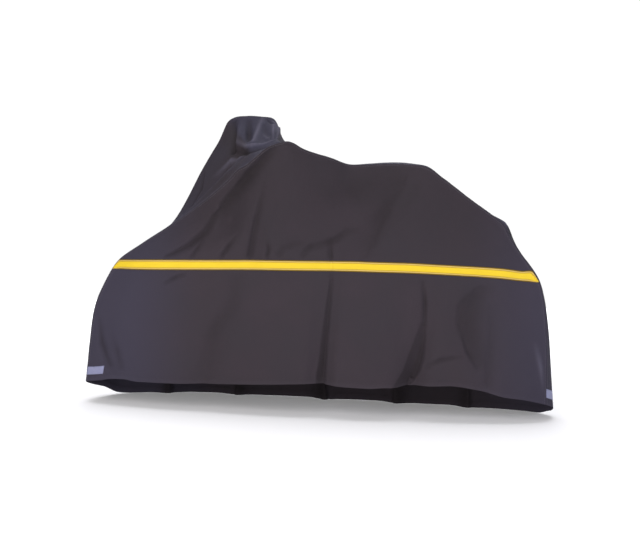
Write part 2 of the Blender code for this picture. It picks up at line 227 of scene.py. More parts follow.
def coords(mesh):
    flat = np.empty(len(mesh.vertices) * 3)
    mesh.vertices.foreach_get("co", flat)
    return flat.reshape(-1, 3)


def put_coords(mesh, points):
    mesh.vertices.foreach_set("co", np.ascontiguousarray(points).ravel())
    mesh.update()


def vertex_normals(mesh):
    flat = np.empty(len(mesh.vertices) * 3)
    mesh.vertex_normals.foreach_get("vector", flat)
    return flat.reshape(-1, 3)


def new_object(name, cloth):
    """Turns a bmesh into a smooth object at the origin, and frees the bmesh."""
    mesh = bpy.data.meshes.new(name)
    cloth.to_mesh(mesh)
    cloth.free()
    mesh.shade_smooth()
    made = bpy.data.objects.new(name, mesh)
    bpy.context.scene.collection.objects.link(made)
    return made


print("points of the near solid:", len(coords(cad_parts["panel_left"].data)))

# %% [markdown]
# ## Finer cloth
#
# A Subdivision Surface makes the cloth fine enough for creases. Catmull-Clark pulls a surface
# inside its cage, which would make the cover smaller, so the cage is pushed out by what is
# missing, a few times over, until the fine cloth passes through the places it should. Simple
# subdivision would stay in place without that, but it would keep every fold's flat facets.

# %% Subdivide
LEVELS = 3
ROUNDS = 4


def evaluated(obj):
    """The object's mesh as its modifiers leave it."""
    depsgraph = bpy.context.evaluated_depsgraph_get()
    depsgraph.update()
    return bpy.data.meshes.new_from_object(obj.evaluated_get(depsgraph))


def refine(obj):
    """Subdivides the object's mesh so that the result passes through the mesh's own points."""
    modifier = obj.modifiers.new("finer", "SUBSURF")
    modifier.levels = modifier.render_levels = LEVELS
    modifier.boundary_smooth = "PRESERVE_CORNERS"
    wanted = coords(obj.data)
    cage = wanted.copy()
    for _ in range(ROUNDS):
        trial = evaluated(obj)
        cage += wanted - coords(trial)[: len(wanted)]
        bpy.data.meshes.remove(trial)
        put_coords(obj.data, cage)
    fine = evaluated(obj)
    missed = np.abs(coords(fine)[: len(wanted)] - wanted).max()
    obj.modifiers.remove(modifier)
    old, obj.data = obj.data, fine
    bpy.data.meshes.remove(old)
    return missed


print("one square becomes", 4**LEVELS, "squares")

# %% [markdown]
# Before that, a narrow band is set in along every edge, so that the seams and hems have fine
# rows of their own. Where a seam ends at a hem, the corner is marked sharp, or the subdivision
# would round it off.

# %% Cloth objects
EDGE_BAND = 0.010


def keep_corners(cloth, joined):
    """Keeps a sharp corner where a seam meets a hem."""
    sharp = cloth.verts.layers.float["crease_vert"]
    for vert in joined:
        edges = [e for e in vert.link_edges if e.is_boundary]
        if any(e.other_vert(vert) not in joined for e in edges):
            vert[sharp] = 1.0


def cloth_object(node, name):
    cloth = skins[node]
    keep_corners(cloth, sewn[node])
    bmesh.ops.inset_region(
        cloth, faces=cloth.faces[:], thickness=EDGE_BAND, use_boundary=True, use_even_offset=True
    )
    made = new_object(name, cloth)
    missed = refine(made)
    print(f"{name}: {len(made.data.polygons)} faces, within {missed * 1000:.2f} mm of its cage")
    return made


side_left = cloth_object("panel_left", "side_left")
side_right = cloth_object("panel_right", "side_right")
strip = cloth_object("top_strip", "strip")

# %% [markdown]
# ## Creases of the near panel
#
# The solids carry the big folds. The creases that catch the light are finer. A cloth simulation
# makes creases of its own choosing, and these have to lie where the real ones do, so they are
# listed one by one: each is a short path on the side view, with a depth at its start, middle and
# end and a reach on either side of it. Equal reaches give a soft trough; a short reach beside a
# long one gives a pleat with one sharp lip. A depth below zero stands out. A reach that is a
# pair grows from the first value to the second along the path.

# %% Creases of the near panel
SHARP = 0.006

CREASES_LEFT = (
    # name, path of (x, z), depths, reach to the front, reach to the rear
    ("peak valley", (
        (-0.139, 0.971), (-0.182, 0.917), (-0.229, 0.873), (-0.276, 0.821), (-0.332, 0.758),
    ), (0.009, 0.015, 0.014), 0.013, (0.018, 0.040)),
    ("peak valley's line", (
        (-0.363, 0.717), (-0.398, 0.656), (-0.455, 0.610), (-0.545, 0.561),
    ), (0.009, 0.011, 0.008), (0.014, 0.005), (0.016, 0.011)),
    ("second valley", (
        (-0.169, 0.831), (-0.187, 0.752), (-0.206, 0.664), (-0.222, 0.576),
    ), (0.002, 0.008, 0.008), 0.008, 0.013),
    ("small crease 1", ((-0.406, 0.630), (-0.425, 0.597), (-0.443, 0.565)),
     (0.002, 0.008, 0.006), 0.005, 0.011),
    ("small crease 2", ((-0.275, 0.647), (-0.301, 0.610), (-0.330, 0.566)),
     (0.002, 0.009, 0.007), 0.005, 0.011),
    ("small crease 3", ((-0.152, 0.630), (-0.149, 0.601), (-0.156, 0.576)),
     (0.002, 0.008, 0.007), 0.006, 0.009),
    ("small crease 4", ((-0.014, 0.627), (-0.061, 0.622), (-0.089, 0.611), (-0.108, 0.585)),
     (0.002, 0.005, 0.005), 0.011, 0.011),
    ("small crease 5", ((0.007, 0.620), (-0.011, 0.605), (-0.024, 0.584)),
     (0.003, 0.006, 0.004), 0.008, 0.010),
    ("hump's diagonal", ((0.322, 0.843), (0.281, 0.773), (0.249, 0.705), (0.225, 0.633)),
     (0.004, 0.008, 0.003), 0.042, 0.014),
    ("hump's broad trough", ((0.262, 0.871), (0.183, 0.835), (0.112, 0.811), (0.042, 0.785)),
     (0.002, 0.006, 0.002), 0.055, 0.045),
    ("tuck above the tape", (
        (0.175, 0.685), (0.133, 0.677), (0.095, 0.647), (0.046, 0.628), (0.007, 0.617),
    ), (0.002, 0.008, 0.004), 0.010, 0.012),
    ("crease to the tape", ((0.077, 0.640), (0.079, 0.608), (0.083, 0.560), (0.084, 0.520)),
     (0.003, 0.009, 0.004), 0.012, SHARP),
    ("below the tape", ((-0.467, 0.502), (-0.502, 0.489), (-0.539, 0.469)),
     (0.003, 0.007, 0.003), 0.005, 0.008),
    ("front fall", ((-0.271, 0.488), (-0.280, 0.397), (-0.341, 0.303), (-0.384, 0.100)),
     (0.002, 0.005, 0.001), 0.026, 0.026),
    ("front corner", ((-0.804, 0.307), (-0.790, 0.232), (-0.757, 0.153)),
     (0.002, 0.008, 0.005), 0.010, 0.014),
    ("front corner's twin", ((-0.740, 0.252), (-0.722, 0.201), (-0.703, 0.147)),
     (0.001, 0.005, 0.003), 0.012, 0.014),
    ("rear pleat's line", ((0.412, 0.503), (0.420, 0.438), (0.421, 0.350)),
     (0.003, 0.009, 0.005), (0.008, 0.010), SHARP),
    ("rear hollow's lip", (
        (0.612, 0.492), (0.567, 0.460), (0.543, 0.420), (0.537, 0.363), (0.553, 0.306),
    ), (0.001, 0.005, 0.002), 0.008, 0.020),
    ("thin curved crease", ((0.559, 0.307), (0.575, 0.258), (0.612, 0.201)),
     (0.003, 0.009, 0.004), 0.005, 0.010),
    ("cross crease", ((0.551, 0.240), (0.481, 0.228), (0.431, 0.203)),
     (0.003, 0.007, 0.003), 0.006, 0.008),
    ("rear fall", ((0.650, 0.420), (0.656, 0.340), (0.648, 0.152)),
     (0.001, 0.003, 0.004), 0.010, 0.020),
    ("rear corner's ridge", ((0.816, 0.283), (0.836, 0.210), (0.857, 0.125)),
     (-0.001, -0.006, -0.005), 0.010, 0.010),
)
print("near panel:", ", ".join(crease[0] for crease in CREASES_LEFT))

# %% [markdown]
# ## Tucks of the near panel
#
# Three folds hang over themselves: the cloth dives in behind a sharp front edge and comes out
# again further back. A path can't say that, so a tuck is a narrow shape, given by rows from its
# foot to its head. In each row the cloth sinks evenly from the front edge to the rear one. What
# lies under the fold gets little light, so each tuck also has a shade, kept for the finish.

# %% Tucks of the near panel
TUCKS_LEFT = (
    # name, shade, softness of the rear edge, rows of (z, x of the front edge, x of the rear, depth)
    ("middle pleat", 0.70, 0.006, (
        (0.060, 0.033, 0.064, 0.018),
        (0.165, 0.039, 0.065, 0.016),
        (0.205, 0.046, 0.067, 0.014),
        (0.283, 0.052, 0.071, 0.011),
        (0.428, 0.068, 0.080, 0.008),
        (0.520, 0.080, 0.084, 0.004),
    )),
    ("rear pleat", 0.60, 0.008, (
        (0.060, 0.286, 0.325, 0.016),
        (0.142, 0.325, 0.370, 0.018),
        (0.184, 0.349, 0.399, 0.018),
        (0.233, 0.364, 0.410, 0.016),
        (0.295, 0.386, 0.416, 0.011),
        (0.366, 0.409, 0.417, 0.004),
    )),
    ("rear hollow", 0.48, 0.035, (
        (0.190, 0.618, 0.624, 0.000),
        (0.229, 0.588, 0.612, 0.004),
        (0.282, 0.560, 0.594, 0.008),
        (0.353, 0.534, 0.576, 0.010),
        (0.442, 0.552, 0.584, 0.008),
        (0.505, 0.610, 0.622, 0.002),
    )),
)
print("tucks:", ", ".join(tuck[0] for tuck in TUCKS_LEFT))

# %% [markdown]
# ## Creases of the far panel
#
# The far side hangs freer and reaches the floor, so its lower half falls in five pleats. Each
# has one sharp lip, on either side by turns, as gathered cloth has. Above the tape it takes the
# near side's main creases, a little moved, because both sides hang from the same peak and hump.

# %% Creases of the far panel
CREASES_RIGHT = (
    ("peak valley", ((-0.380, 1.020), (-0.400, 0.880), (-0.440, 0.740), (-0.500, 0.600)),
     (0.004, 0.012, 0.007), 0.020, 0.026),
    ("second valley", ((-0.220, 0.980), (-0.200, 0.820), (-0.240, 0.660), (-0.270, 0.580)),
     (0.003, 0.010, 0.006), 0.014, 0.020),
    ("small crease 1", ((-0.380, 0.660), (-0.404, 0.610), (-0.420, 0.580)),
     (0.001, 0.005, 0.004), 0.008, 0.013),
    ("small crease 2", ((-0.110, 0.670), (-0.130, 0.620), (-0.150, 0.580)),
     (0.001, 0.005, 0.004), 0.008, 0.013),
    ("hump's diagonal", ((0.340, 0.850), (0.290, 0.765), (0.250, 0.700), (0.210, 0.600)),
     (0.002, 0.009, 0.005), 0.016, 0.028),
    ("rear crease", ((0.620, 0.700), (0.580, 0.650), (0.550, 0.590)),
     (0.001, 0.006, 0.004), 0.014, 0.020),
    ("front pleat", ((-0.560, 0.500), (-0.590, 0.300), (-0.610, 0.000)),
     (0.002, 0.010, 0.018), 0.034, SHARP),
    ("second pleat", ((-0.330, 0.500), (-0.346, 0.280), (-0.350, 0.000)),
     (0.002, 0.009, 0.016), SHARP, 0.040),
    ("middle pleat", ((-0.020, 0.510), (-0.012, 0.280), (0.010, 0.000)),
     (0.003, 0.012, 0.020), 0.036, SHARP),
    ("rear pleat", ((0.270, 0.500), (0.262, 0.280), (0.280, 0.000)),
     (0.002, 0.010, 0.016), SHARP, 0.040),
    ("last fall", ((0.540, 0.500), (0.560, 0.280), (0.562, 0.000)),
     (0.002, 0.009, 0.014), 0.030, 0.012),
)
print("far panel:", ", ".join(crease[0] for crease in CREASES_RIGHT))

# %% [markdown]
# ## From a path to a depth
#
# For each point of the cloth the nearest place on the path says how deep the crease is there,
# and the distance to it says how much of that depth the point gets: a bell curve, which has no
# edge where it starts. The side of the path decides which of the two reaches holds.

# %% Depth of the creases


def path_frame(points, path):
    """For each 2-D point: how far along the path it is (0 to 1), how far off, and which side."""
    path = np.array(path, float)
    runs = np.diff(path, axis=0)
    lengths = np.linalg.norm(runs, axis=1)
    before = np.concatenate([[0.0], np.cumsum(lengths)])
    nearest = np.full(len(points), np.inf)
    along, side = np.zeros(len(points)), np.zeros(len(points))
    for start, run, length, done in zip(path, runs, lengths, before):
        way = run / length
        offset = points - start
        reached = np.clip(offset @ way, 0.0, length)
        away = np.linalg.norm(offset - reached[:, None] * way, axis=1)
        closer = away < nearest
        nearest[closer] = away[closer]
        along[closer] = (done + reached[closer]) / before[-1]
        side[closer] = (way[0] * offset[:, 1] - way[1] * offset[:, 0])[closer]
    return along, nearest, side


def reach_at(along, reach):
    """A reach that is one number, or that grows from its first value to its second."""
    return np.interp(along, (0.0, 1.0), reach) if isinstance(reach, tuple) else reach


def depth_at(along, depths):
    """The depth between a crease's start, middle and end."""
    return np.interp(along, (0.0, 0.5, 1.0), depths)


def crease_depth(points, creases):
    """How deep all the creases together press each side-view point."""
    depth = np.zeros(len(points))
    for _, path, depths, front, rear in creases:
        along, away, side = path_frame(points, path)
        down = path[-1][1] <= path[0][1]
        to_rear = side > 0 if down else side < 0
        reach = np.where(to_rear, reach_at(along, rear), reach_at(along, front))
        depth += depth_at(along, depths) * np.exp(-((away / reach) ** 2))
    return depth


middle = np.array([(-0.398, 0.656)])
print("depth on a crease, mm:", round(1000 * crease_depth(middle, CREASES_LEFT)[0], 1))

# %% [markdown]
# A tuck is found row by row instead: at each height its front and rear edge are read off between
# the rows. `eased` is the smooth step that everything here fades in and out with.

# %% Depth of the tucks
TUCK_HEAD = 0.02
REAR_LAP = 0.002
SHADE_BEFORE, SHADE_AFTER = 0.003, 0.004


def eased(value, low, high):
    """0 below low, 1 above high, and a smooth step between."""
    t = np.clip((value - low) / (high - low), 0.0, 1.0)
    return t * t * (3 - 2 * t)


def tuck_depth(points, tucks):
    """How deep the tucks press each side-view point, and how much they shade it."""
    depth, shade = np.zeros(len(points)), np.zeros(len(points))
    x, z = points.T
    for _, dark, soft, rows in tucks:
        heights, fronts, rears, depths = np.array(rows).T
        front, rear, deep = (np.interp(z, heights, edge) for edge in (fronts, rears, depths))
        below = 1 - eased(z, heights[-1] - TUCK_HEAD, heights[-1])
        leaving = 1 - eased(x, rear - REAR_LAP, rear + 2 * soft)
        fallen = np.clip((x - front) / (rear - front), 0.0, 1.0)
        depth += deep * fallen * leaving * below
        covered = eased(x, front - SHADE_BEFORE, front + SHADE_AFTER) * leaving * below
        shade = np.maximum(shade, dark * covered * np.minimum(deep / depths.max(), 1.0) ** 0.5)
    return depth, shade


in_pleat = np.array([(0.064, 0.165)])
print("depth in a tuck, mm:", round(1000 * tuck_depth(in_pleat, TUCKS_LEFT)[0][0], 1))

# %% [markdown]
# ## Slack in the cloth
#
# Between its creases hung cloth is never flat. A low, long swell that runs mostly up and down
# comes from its weight, and a small crinkle stays from how it was packed. Both are gentle noise,
# which is the same in every run, and they fade out at the seams, where the thread holds the
# cloth. A Displace modifier could do it too, but it can't be told to spare the seams as simply.

# %% Swell and crinkle
SWELL = 0.0016
SWELL_SCALE = (9.0, 3.2)
CRINKLE = 0.0003
CRINKLE_SCALE = (55.0, 40.0)


def uneven(point, scale):
    """Noise that is finer or coarser across the cloth than up and down it."""
    x, y, z = point
    across, up = scale
    return noise.noise(Vector((x * across, y * across, z * up)))


def slack(points):
    """A few tenths of a millimetre up to a millimetre or two of unevenness at each point."""
    moved = np.empty(len(points))
    for index, point in enumerate(points):
        swell = uneven(point, SWELL_SCALE)
        crinkle = uneven(point, CRINKLE_SCALE)
        moved[index] = SWELL * swell + CRINKLE * crinkle
    return moved


highest = coords(strip.data)[:, 2].argmax()
print("slack at the peak, mm:", round(1000 * slack(coords(strip.data)[highest:highest + 1])[0], 2))

# %% [markdown]
# ## Where the open edges are
#
# Much of what follows asks how far a point is from a seam. An edge that only one face uses is
# open, and on these pieces the open edges are the seams and hems. A bmesh knows them too, but
# counting the faces of each edge saves turning the large meshes into one.

# %% Open edges


def boundary(obj):
    """Each open edge of the object as a pair of vertex numbers."""
    uses = {}
    for polygon in obj.data.polygons:
        for key in polygon.edge_keys:
            uses[key] = uses.get(key, 0) + 1
    return [key for key, count in uses.items() if count == 1]


def edge_points(obj):
    return coords(obj.data)[sorted({v for key in boundary(obj) for v in key})]


def boundary_tree(*objects):
    return tree_of(np.concatenate([edge_points(obj) for obj in objects]))


def distance_to(points, tree):
    return np.array([tree.find(p)[2] for p in points])


print("points on the strip's edges:", len(edge_points(strip)))

# %% [markdown]
# ## Tugging the cloth into place
#
# Before the fine creases, a few places of the draped shapes are put right, as one tugs at a real
# cover. Each tug is a soft move, full at its place and fading to nothing round it, so that
# neighbouring cloths that take the same tug stay joined. The smooth brush becomes `relax`: each
# point of a round area goes to the mean of its neighbours, many times over, and only in and out,
# so that the outline stays. The grab brush becomes `tug`.

# %% Soft moves
SEAM_HOLD = 0.024
SEAM_STILL = 0.002
TUG_CORE = 0.1
RELAX_CORE = 0.4
RELAX_ROUNDS = 400


def nearness(away, core):
    """1 up to that share of a size, and 0 from the full size on."""
    return 1 - eased(away, core, 1.0)


def tug(obj, middle, size, move):
    """Moves what is near one place in space."""
    points = coords(obj.data)
    away = np.linalg.norm((points - middle) / size, axis=1)
    put_coords(obj.data, points + np.array(move) * nearness(away, TUG_CORE)[:, None])


def relax(obj, middle, size, seam):
    """Evens out the cloth round one place of the side view."""
    points = coords(obj.data)
    ends = np.empty(len(obj.data.edges) * 2, dtype=np.int32)
    obj.data.edges.foreach_get("vertices", ends)
    first, second = ends.reshape(-1, 2).T
    away = np.linalg.norm((points[:, [0, 2]] - middle) / size, axis=1)
    held = eased(distance_to(points, seam), SEAM_STILL, SEAM_HOLD)
    freely = nearness(away, RELAX_CORE) * held
    across = points[:, 1]
    count = len(points)
    neighbours = np.bincount(first, minlength=count) + np.bincount(second, minlength=count)
    for _ in range(RELAX_ROUNDS):
        total = np.bincount(first, across[second], count)
        total = total + np.bincount(second, across[first], count)
        across += freely * (total / neighbours - across)
    put_coords(obj.data, points)


print("a relaxed area has", RELAX_ROUNDS, "rounds of smoothing")

# %% [markdown]
# The near hem hangs a little lower at two places than its solid does, and the far hem rests on
# the floor instead of hovering a few millimetres above it. Only heights change here, and less
# and less further up, so that no crease forms at the end of a move.

# %% Hems let down
NEAR_FLOOR = 0.009
HEM_CLEAR = 0.0004
LEVEL_FADE = 0.12
REST_FADE = (0.01, 0.12)
REST_FROM_SEAM = 0.08


def level_hem(obj, place, drop, reach, top):
    """Lets the hem down a little around one place along X, and less and less up to the top."""
    points = coords(obj.data)
    near = np.exp(-(((points[:, 0] - place) / reach) ** 2))
    points[:, 2] -= drop * near * (1 - eased(points[:, 2], top - LEVEL_FADE, top))
    put_coords(obj.data, points)


def rest_hem(obj, seam):
    """Lets the hem down on to the floor where it hangs just above it."""
    points = coords(obj.data)
    edge = edge_points(obj)
    edge = edge[edge[:, 2] < NEAR_FLOOR]
    edge = edge[np.argsort(edge[:, 0])]
    drop = np.interp(points[:, 0], edge[:, 0], edge[:, 2] - HEM_CLEAR)
    lower = 1 - eased(points[:, 2], *REST_FADE)
    points[:, 2] -= drop * lower * eased(distance_to(points, seam), 0.0, REST_FROM_SEAM)
    put_coords(obj.data, points)


print("hem points near the floor:", int((edge_points(side_right)[:, 2] < NEAR_FLOOR).sum()))

# %% Tug, relax and let down
PEAK_SEAM = ((-0.215, -0.235, 0.940), (0.095, 0.110, 0.085), (0.0, 0.0, -0.020))
BEHIND_PEAK = ((0.0, 0.84), (0.28, 0.22))
LOW_HEMS = ((-0.715, 0.0085, 0.042, 0.26), (0.335, 0.010, 0.038, 0.28))

for cloth in (side_left, strip):
    tug(cloth, *PEAK_SEAM)
strip_seams = boundary_tree(side_left, side_right)
panel_seam = boundary_tree(strip)
relax(side_left, *BEHIND_PEAK, panel_seam)
for low_hem in LOW_HEMS:
    level_hem(side_left, *low_hem)
rest_hem(side_right, panel_seam)
for panel in (side_left, side_right):
    print(panel.name, "lowest at, mm:", round(1000 * coords(panel.data)[:, 2].min(), 1))

# %% [markdown]
# ## Seams that show
#
# The strip is sewn to the panels with a turned seam. Along it the cloth lies three deep, so it
# stands up in a low ridge, and the thread draws it into small puckers that run across it. Both
# depend on the distance from the seam alone, so they are worked out for each point. A separate
# cord laid along the seam would look like piping, which this cover doesn't have.

# %% Ridge and puckers
RIDGE_AT = 0.0055
RIDGE_REACH = 0.0045
RIDGE_HEIGHT = 0.0011
PUCKER = 0.0009
PUCKERS_PER_METRE = 30
PUCKER_SPREAD = 3.0
PUCKER_REACH = 0.020
SEWN_EDGE = 0.003


def ridge_and_puckers(points, away):
    """How far the sewn edge stands out at each point, by its distance from the seam."""
    waves = np.array([
        noise.noise(Vector(((x - z) * PUCKERS_PER_METRE, PUCKER_SPREAD * y, 0.0)))
        for x, y, z in points
    ])
    ridge = RIDGE_HEIGHT * np.exp(-(((away - RIDGE_AT) / RIDGE_REACH) ** 2))
    drawn = PUCKER * waves * np.exp(-((away / PUCKER_REACH) ** 2))
    return (ridge + drawn) * eased(away, 0.0, SEWN_EDGE)


print("the ridge is", RIDGE_HEIGHT * 1000, "mm high")

# %% [markdown]
# ## Pressing the panels
#
# Now each panel gets its creases, its tucks, its slack and its seam ridge. The creases press in
# along Y and not along the normals, so the panel and what is sewn to it stay together. The tape
# is stiffer than the cloth, so creases are shallower where it is sewn on. How deep each point
# was pressed, and how high each ridge stands, is kept in attributes, because the finish paints
# shade into the creases and tucks and a highlight onto the ridges from them, and no texture can
# know where they are.

# %% Keep the depth for the finish
FULLY_PRESSED = 0.014
FULLY_RAISED = 0.008


def store(obj, name, values):
    """Keeps one number for each point of the mesh, for the finish to read."""
    layer = obj.data.attributes.new(name, "FLOAT", "POINT")
    layer.data.foreach_set("value", np.ascontiguousarray(values, dtype=np.float32))


def store_depth(obj, depth, shade=0.0):
    # painted shade: 'pressed' darkens the creases and, with the tucks' shade, what lies under a
    # tuck
    store(obj, "pressed", np.maximum(np.clip(depth / FULLY_PRESSED, 0.0, 1.0), shade))
    # painted highlight: 'raised' makes the ridges paler
    store(obj, "raised", np.clip(-depth / FULLY_RAISED, 0.0, 1.0))


print("darkest from", FULLY_PRESSED * 1000, "mm deep, palest from", FULLY_RAISED * 1000, "mm high")

# %% Press the panels
TAPE_HOLD = 0.020
HELD_FLAT = 0.004
UNDER_TAPE = 0.40


def press_panel(obj, creases, tucks, inwards, seam, tape):
    points = coords(obj.data)
    away = distance_to(points, seam)
    free = eased(away, HELD_FLAT, SEAM_HOLD)
    off_tape = eased(distance_to(points, tape), HELD_FLAT, TAPE_HOLD)
    taped = UNDER_TAPE + (1 - UNDER_TAPE) * off_tape
    tucked, shade = tuck_depth(points[:, [0, 2]], tucks)
    creased = free * taped * crease_depth(points[:, [0, 2]], creases)
    depth = creased + free * taped * tucked
    points[:, 1] += inwards * depth
    put_coords(obj.data, points)
    outward = free * taped * slack(points) + ridge_and_puckers(points, away)
    put_coords(obj.data, points + vertex_normals(obj.data) * outward[:, None])
    store_depth(obj, creased, shade * taped)
    return depth.max()


SIDES = ("left", "right")
tapes = {side: new_object(f"band_{side}", outer_skin(f"tape_{side}")) for side in SIDES}
for tape in tapes.values():
    refine(tape)
tape_trees = {side: tree_of(coords(tape.data)) for side, tape in tapes.items()}
deepest = (
    press_panel(side_left, CREASES_LEFT, TUCKS_LEFT, 1.0, panel_seam, tape_trees["left"]),
    press_panel(side_right, CREASES_RIGHT, (), -1.0, panel_seam, tape_trees["right"]),
)
print("deepest creases, mm:", [round(1000 * deep, 1) for deep in deepest])

# %% [markdown]
# ## Creases of the top strip
#
# The strip is drawn up into a peak near the front, where the cloth is turned in as a pocket with
# a rim, ribs and a dark band below. From there it runs back over a low hump to the rear corner.
# Its creases are paths in space, because it turns from facing forwards to facing up, and no one
# view shows it all.

# %% Creases of the peak
PEAK_CREASES = (
    # name, path of (x, y, z), depths, reach
    ("left fold of the pocket", (
        (-0.385, 0.240, 1.081), (-0.361, 0.155, 1.020), (-0.355, 0.088, 0.958),
    ), (0.008, 0.014, 0.014), 0.014),
    ("pocket's left lip", ((-0.355, 0.200, 1.050), (-0.340, 0.120, 1.000)),
     (-0.003, -0.007, -0.004), 0.012),
    ("pocket's rim", (
        (-0.342, 0.096, 0.996), (-0.278, -0.022, 0.973), (-0.243, -0.053, 0.975),
        (-0.212, -0.045, 0.985), (-0.182, -0.015, 0.998),
    ), (-0.006, -0.015, -0.006), 0.010),
    ("band below the rim", (
        (-0.250, -0.100, 0.955), (-0.222, -0.110, 0.964), (-0.190, -0.115, 0.972),
        (-0.145, -0.115, 0.985),
    ), (0.006, 0.018, 0.009), 0.032),
    ("under the rim", (
        (-0.350, 0.090, 0.955), (-0.300, 0.000, 0.950), (-0.262, -0.080, 0.950),
        (-0.214, -0.135, 0.960),
    ), (0.008, 0.015, 0.004), 0.016),
    ("fold in the pocket", (
        (-0.320, 0.223, 1.077), (-0.300, 0.130, 1.030), (-0.284, 0.050, 1.000),
    ), (0.006, 0.014, 0.010), 0.012),
    ("ridge beside it", (
        (-0.268, 0.242, 1.089), (-0.269, 0.170, 1.053), (-0.265, 0.081, 1.013),
        (-0.261, 0.026, 0.993),
    ), (-0.004, -0.009, -0.008), 0.011),
    ("short ridge", ((-0.248, 0.125, 1.037), (-0.225, 0.074, 1.017), (-0.207, 0.040, 1.005)),
     (-0.001, -0.007, -0.004), 0.005),
    ("slanting trough", ((-0.255, 0.190, 1.065), (-0.215, 0.070, 1.022)),
     (0.002, 0.006, 0.003), 0.010),
    ("small tuck", ((-0.252, 0.240, 1.086), (-0.229, 0.205, 1.070), (-0.206, 0.180, 1.059)),
     (0.004, 0.009, 0.005), 0.0045),
    ("rib 1", ((-0.213, 0.186, 1.059), (-0.183, 0.015, 1.009)),
     (-0.004, -0.010, -0.006), 0.006),
    ("rib 2", ((-0.199, 0.210, 1.056), (-0.166, 0.016, 1.009)),
     (-0.004, -0.009, -0.006), 0.005),
    ("between the ribs", ((-0.206, 0.200, 1.058), (-0.175, 0.015, 1.009)),
     (0.002, 0.007, 0.003), 0.006),
    ("ridge on the front", (
        (-0.410, 0.055, 0.862), (-0.348, 0.050, 0.920), (-0.275, -0.085, 0.935),
    ), (-0.001, -0.007, -0.007), 0.014),
    ("back of the peak", (
        (-0.205, 0.215, 1.070), (-0.190, 0.150, 1.045), (-0.170, 0.060, 1.020),
    ), (-0.009, -0.011, -0.003), 0.020),
    ("low front crease", (
        (-0.472, 0.126, 0.864), (-0.471, 0.061, 0.807), (-0.496, 0.024, 0.746),
    ), (0.003, 0.011, 0.005), 0.009),
)
print("peak:", ", ".join(crease[0] for crease in PEAK_CREASES))

# %% Creases behind the peak
TOP_CREASES = (
    ("behind the peak", ((-0.090, 0.100, 0.975), (-0.010, -0.020, 0.950), (0.060, -0.090, 0.935)),
     (0.003, 0.006, 0.002), 0.020),
    ("before the hump", ((0.000, 0.070, 0.948), (0.070, -0.010, 0.930), (0.130, -0.060, 0.915)),
     (0.002, 0.005, 0.002), 0.018),
    ("behind the hump", ((0.430, 0.040, 0.890), (0.520, -0.020, 0.835), (0.600, -0.040, 0.775)),
     (0.001, 0.005, 0.002), 0.018),
    ("rear corner", ((0.664, -0.084, 0.734), (0.690, -0.082, 0.713), (0.706, -0.080, 0.688)),
     (-0.005, -0.013, -0.003), 0.015),
)
print("top:", ", ".join(crease[0] for crease in TOP_CREASES))

# %% [markdown]
# The strip is pressed along its own normals, since it faces every way between forwards and up.
# How far it opens to the sky is kept as well, from before the pressing, because the finish paints
# a bluish tint of light from above on the broad shape, not on each wrinkle.

# %% Press the strip
SKY = (0.42, 1.0)


def space_crease_depth(points, creases):
    """How deep all the creases together press each point in space."""
    depth = np.zeros(len(points))
    for _, path, depths, reach in creases:
        path = np.array(path)
        runs = np.diff(path, axis=0)
        nearest = np.full(len(points), np.inf)
        along = np.zeros(len(points))
        for number, (start, run) in enumerate(zip(path, runs)):
            length = np.linalg.norm(run)
            offset = points - start
            reached = np.clip(offset @ run / length**2, 0.0, 1.0)
            away = np.linalg.norm(offset - reached[:, None] * run, axis=1)
            closer = away < nearest
            nearest[closer] = away[closer]
            along[closer] = ((number + reached) / len(runs))[closer]
        depth += depth_at(along, depths) * np.exp(-((nearest / reach) ** 2))
    return depth


def press_strip(obj, seam):
    points = coords(obj.data)
    away = distance_to(points, seam)
    free = eased(away, HELD_FLAT, SEAM_HOLD)
    depth = free * space_crease_depth(points, PEAK_CREASES + TOP_CREASES)
    store_depth(obj, depth)
    # how far each point faces the sky, for the painted bluish tint of light from above
    store(obj, "open_to_sky", eased(vertex_normals(obj.data)[:, 2], *SKY))
    outward = free * slack(points) - depth + ridge_and_puckers(points, away)
    put_coords(obj.data, points + vertex_normals(obj.data) * outward[:, None])
    return depth


strip_depth = press_strip(strip, strip_seams)
print("strip, mm:", *(round(1000 * d, 1) for d in (strip_depth.min(), strip_depth.max())))

# %% [markdown]
# ## Hems
#
# A hem is the cloth's own edge turned up inside and sewn down. The open edge is extruded round a
# small fold and then up the inside, a hair's breadth from the outer layer. Each new row is laid
# on the nearest place of the cloth, which a BVH tree finds, so that the hem follows every crease
# above it. Solidify would thicken the whole cloth instead.

# %% Turn the hems
HEM_HEIGHT = 0.024
HEM_FOLD = (
    # how far inwards, how far up
    (0.0008, -0.0008),
    (0.0020, -0.0002),
    (0.0022, 0.008),
    (0.0020, HEM_HEIGHT),
)
ON_SEAM = 0.0008


def surface_of(obj):
    depsgraph = bpy.context.evaluated_depsgraph_get()
    depsgraph.update()
    return BVHTree.FromObject(obj, depsgraph)


def neighbour_in(vert, known):
    """The vertex at the other end of an edge, among those that are known."""
    return next(other for e in vert.link_edges if (other := e.other_vert(vert)) in known)


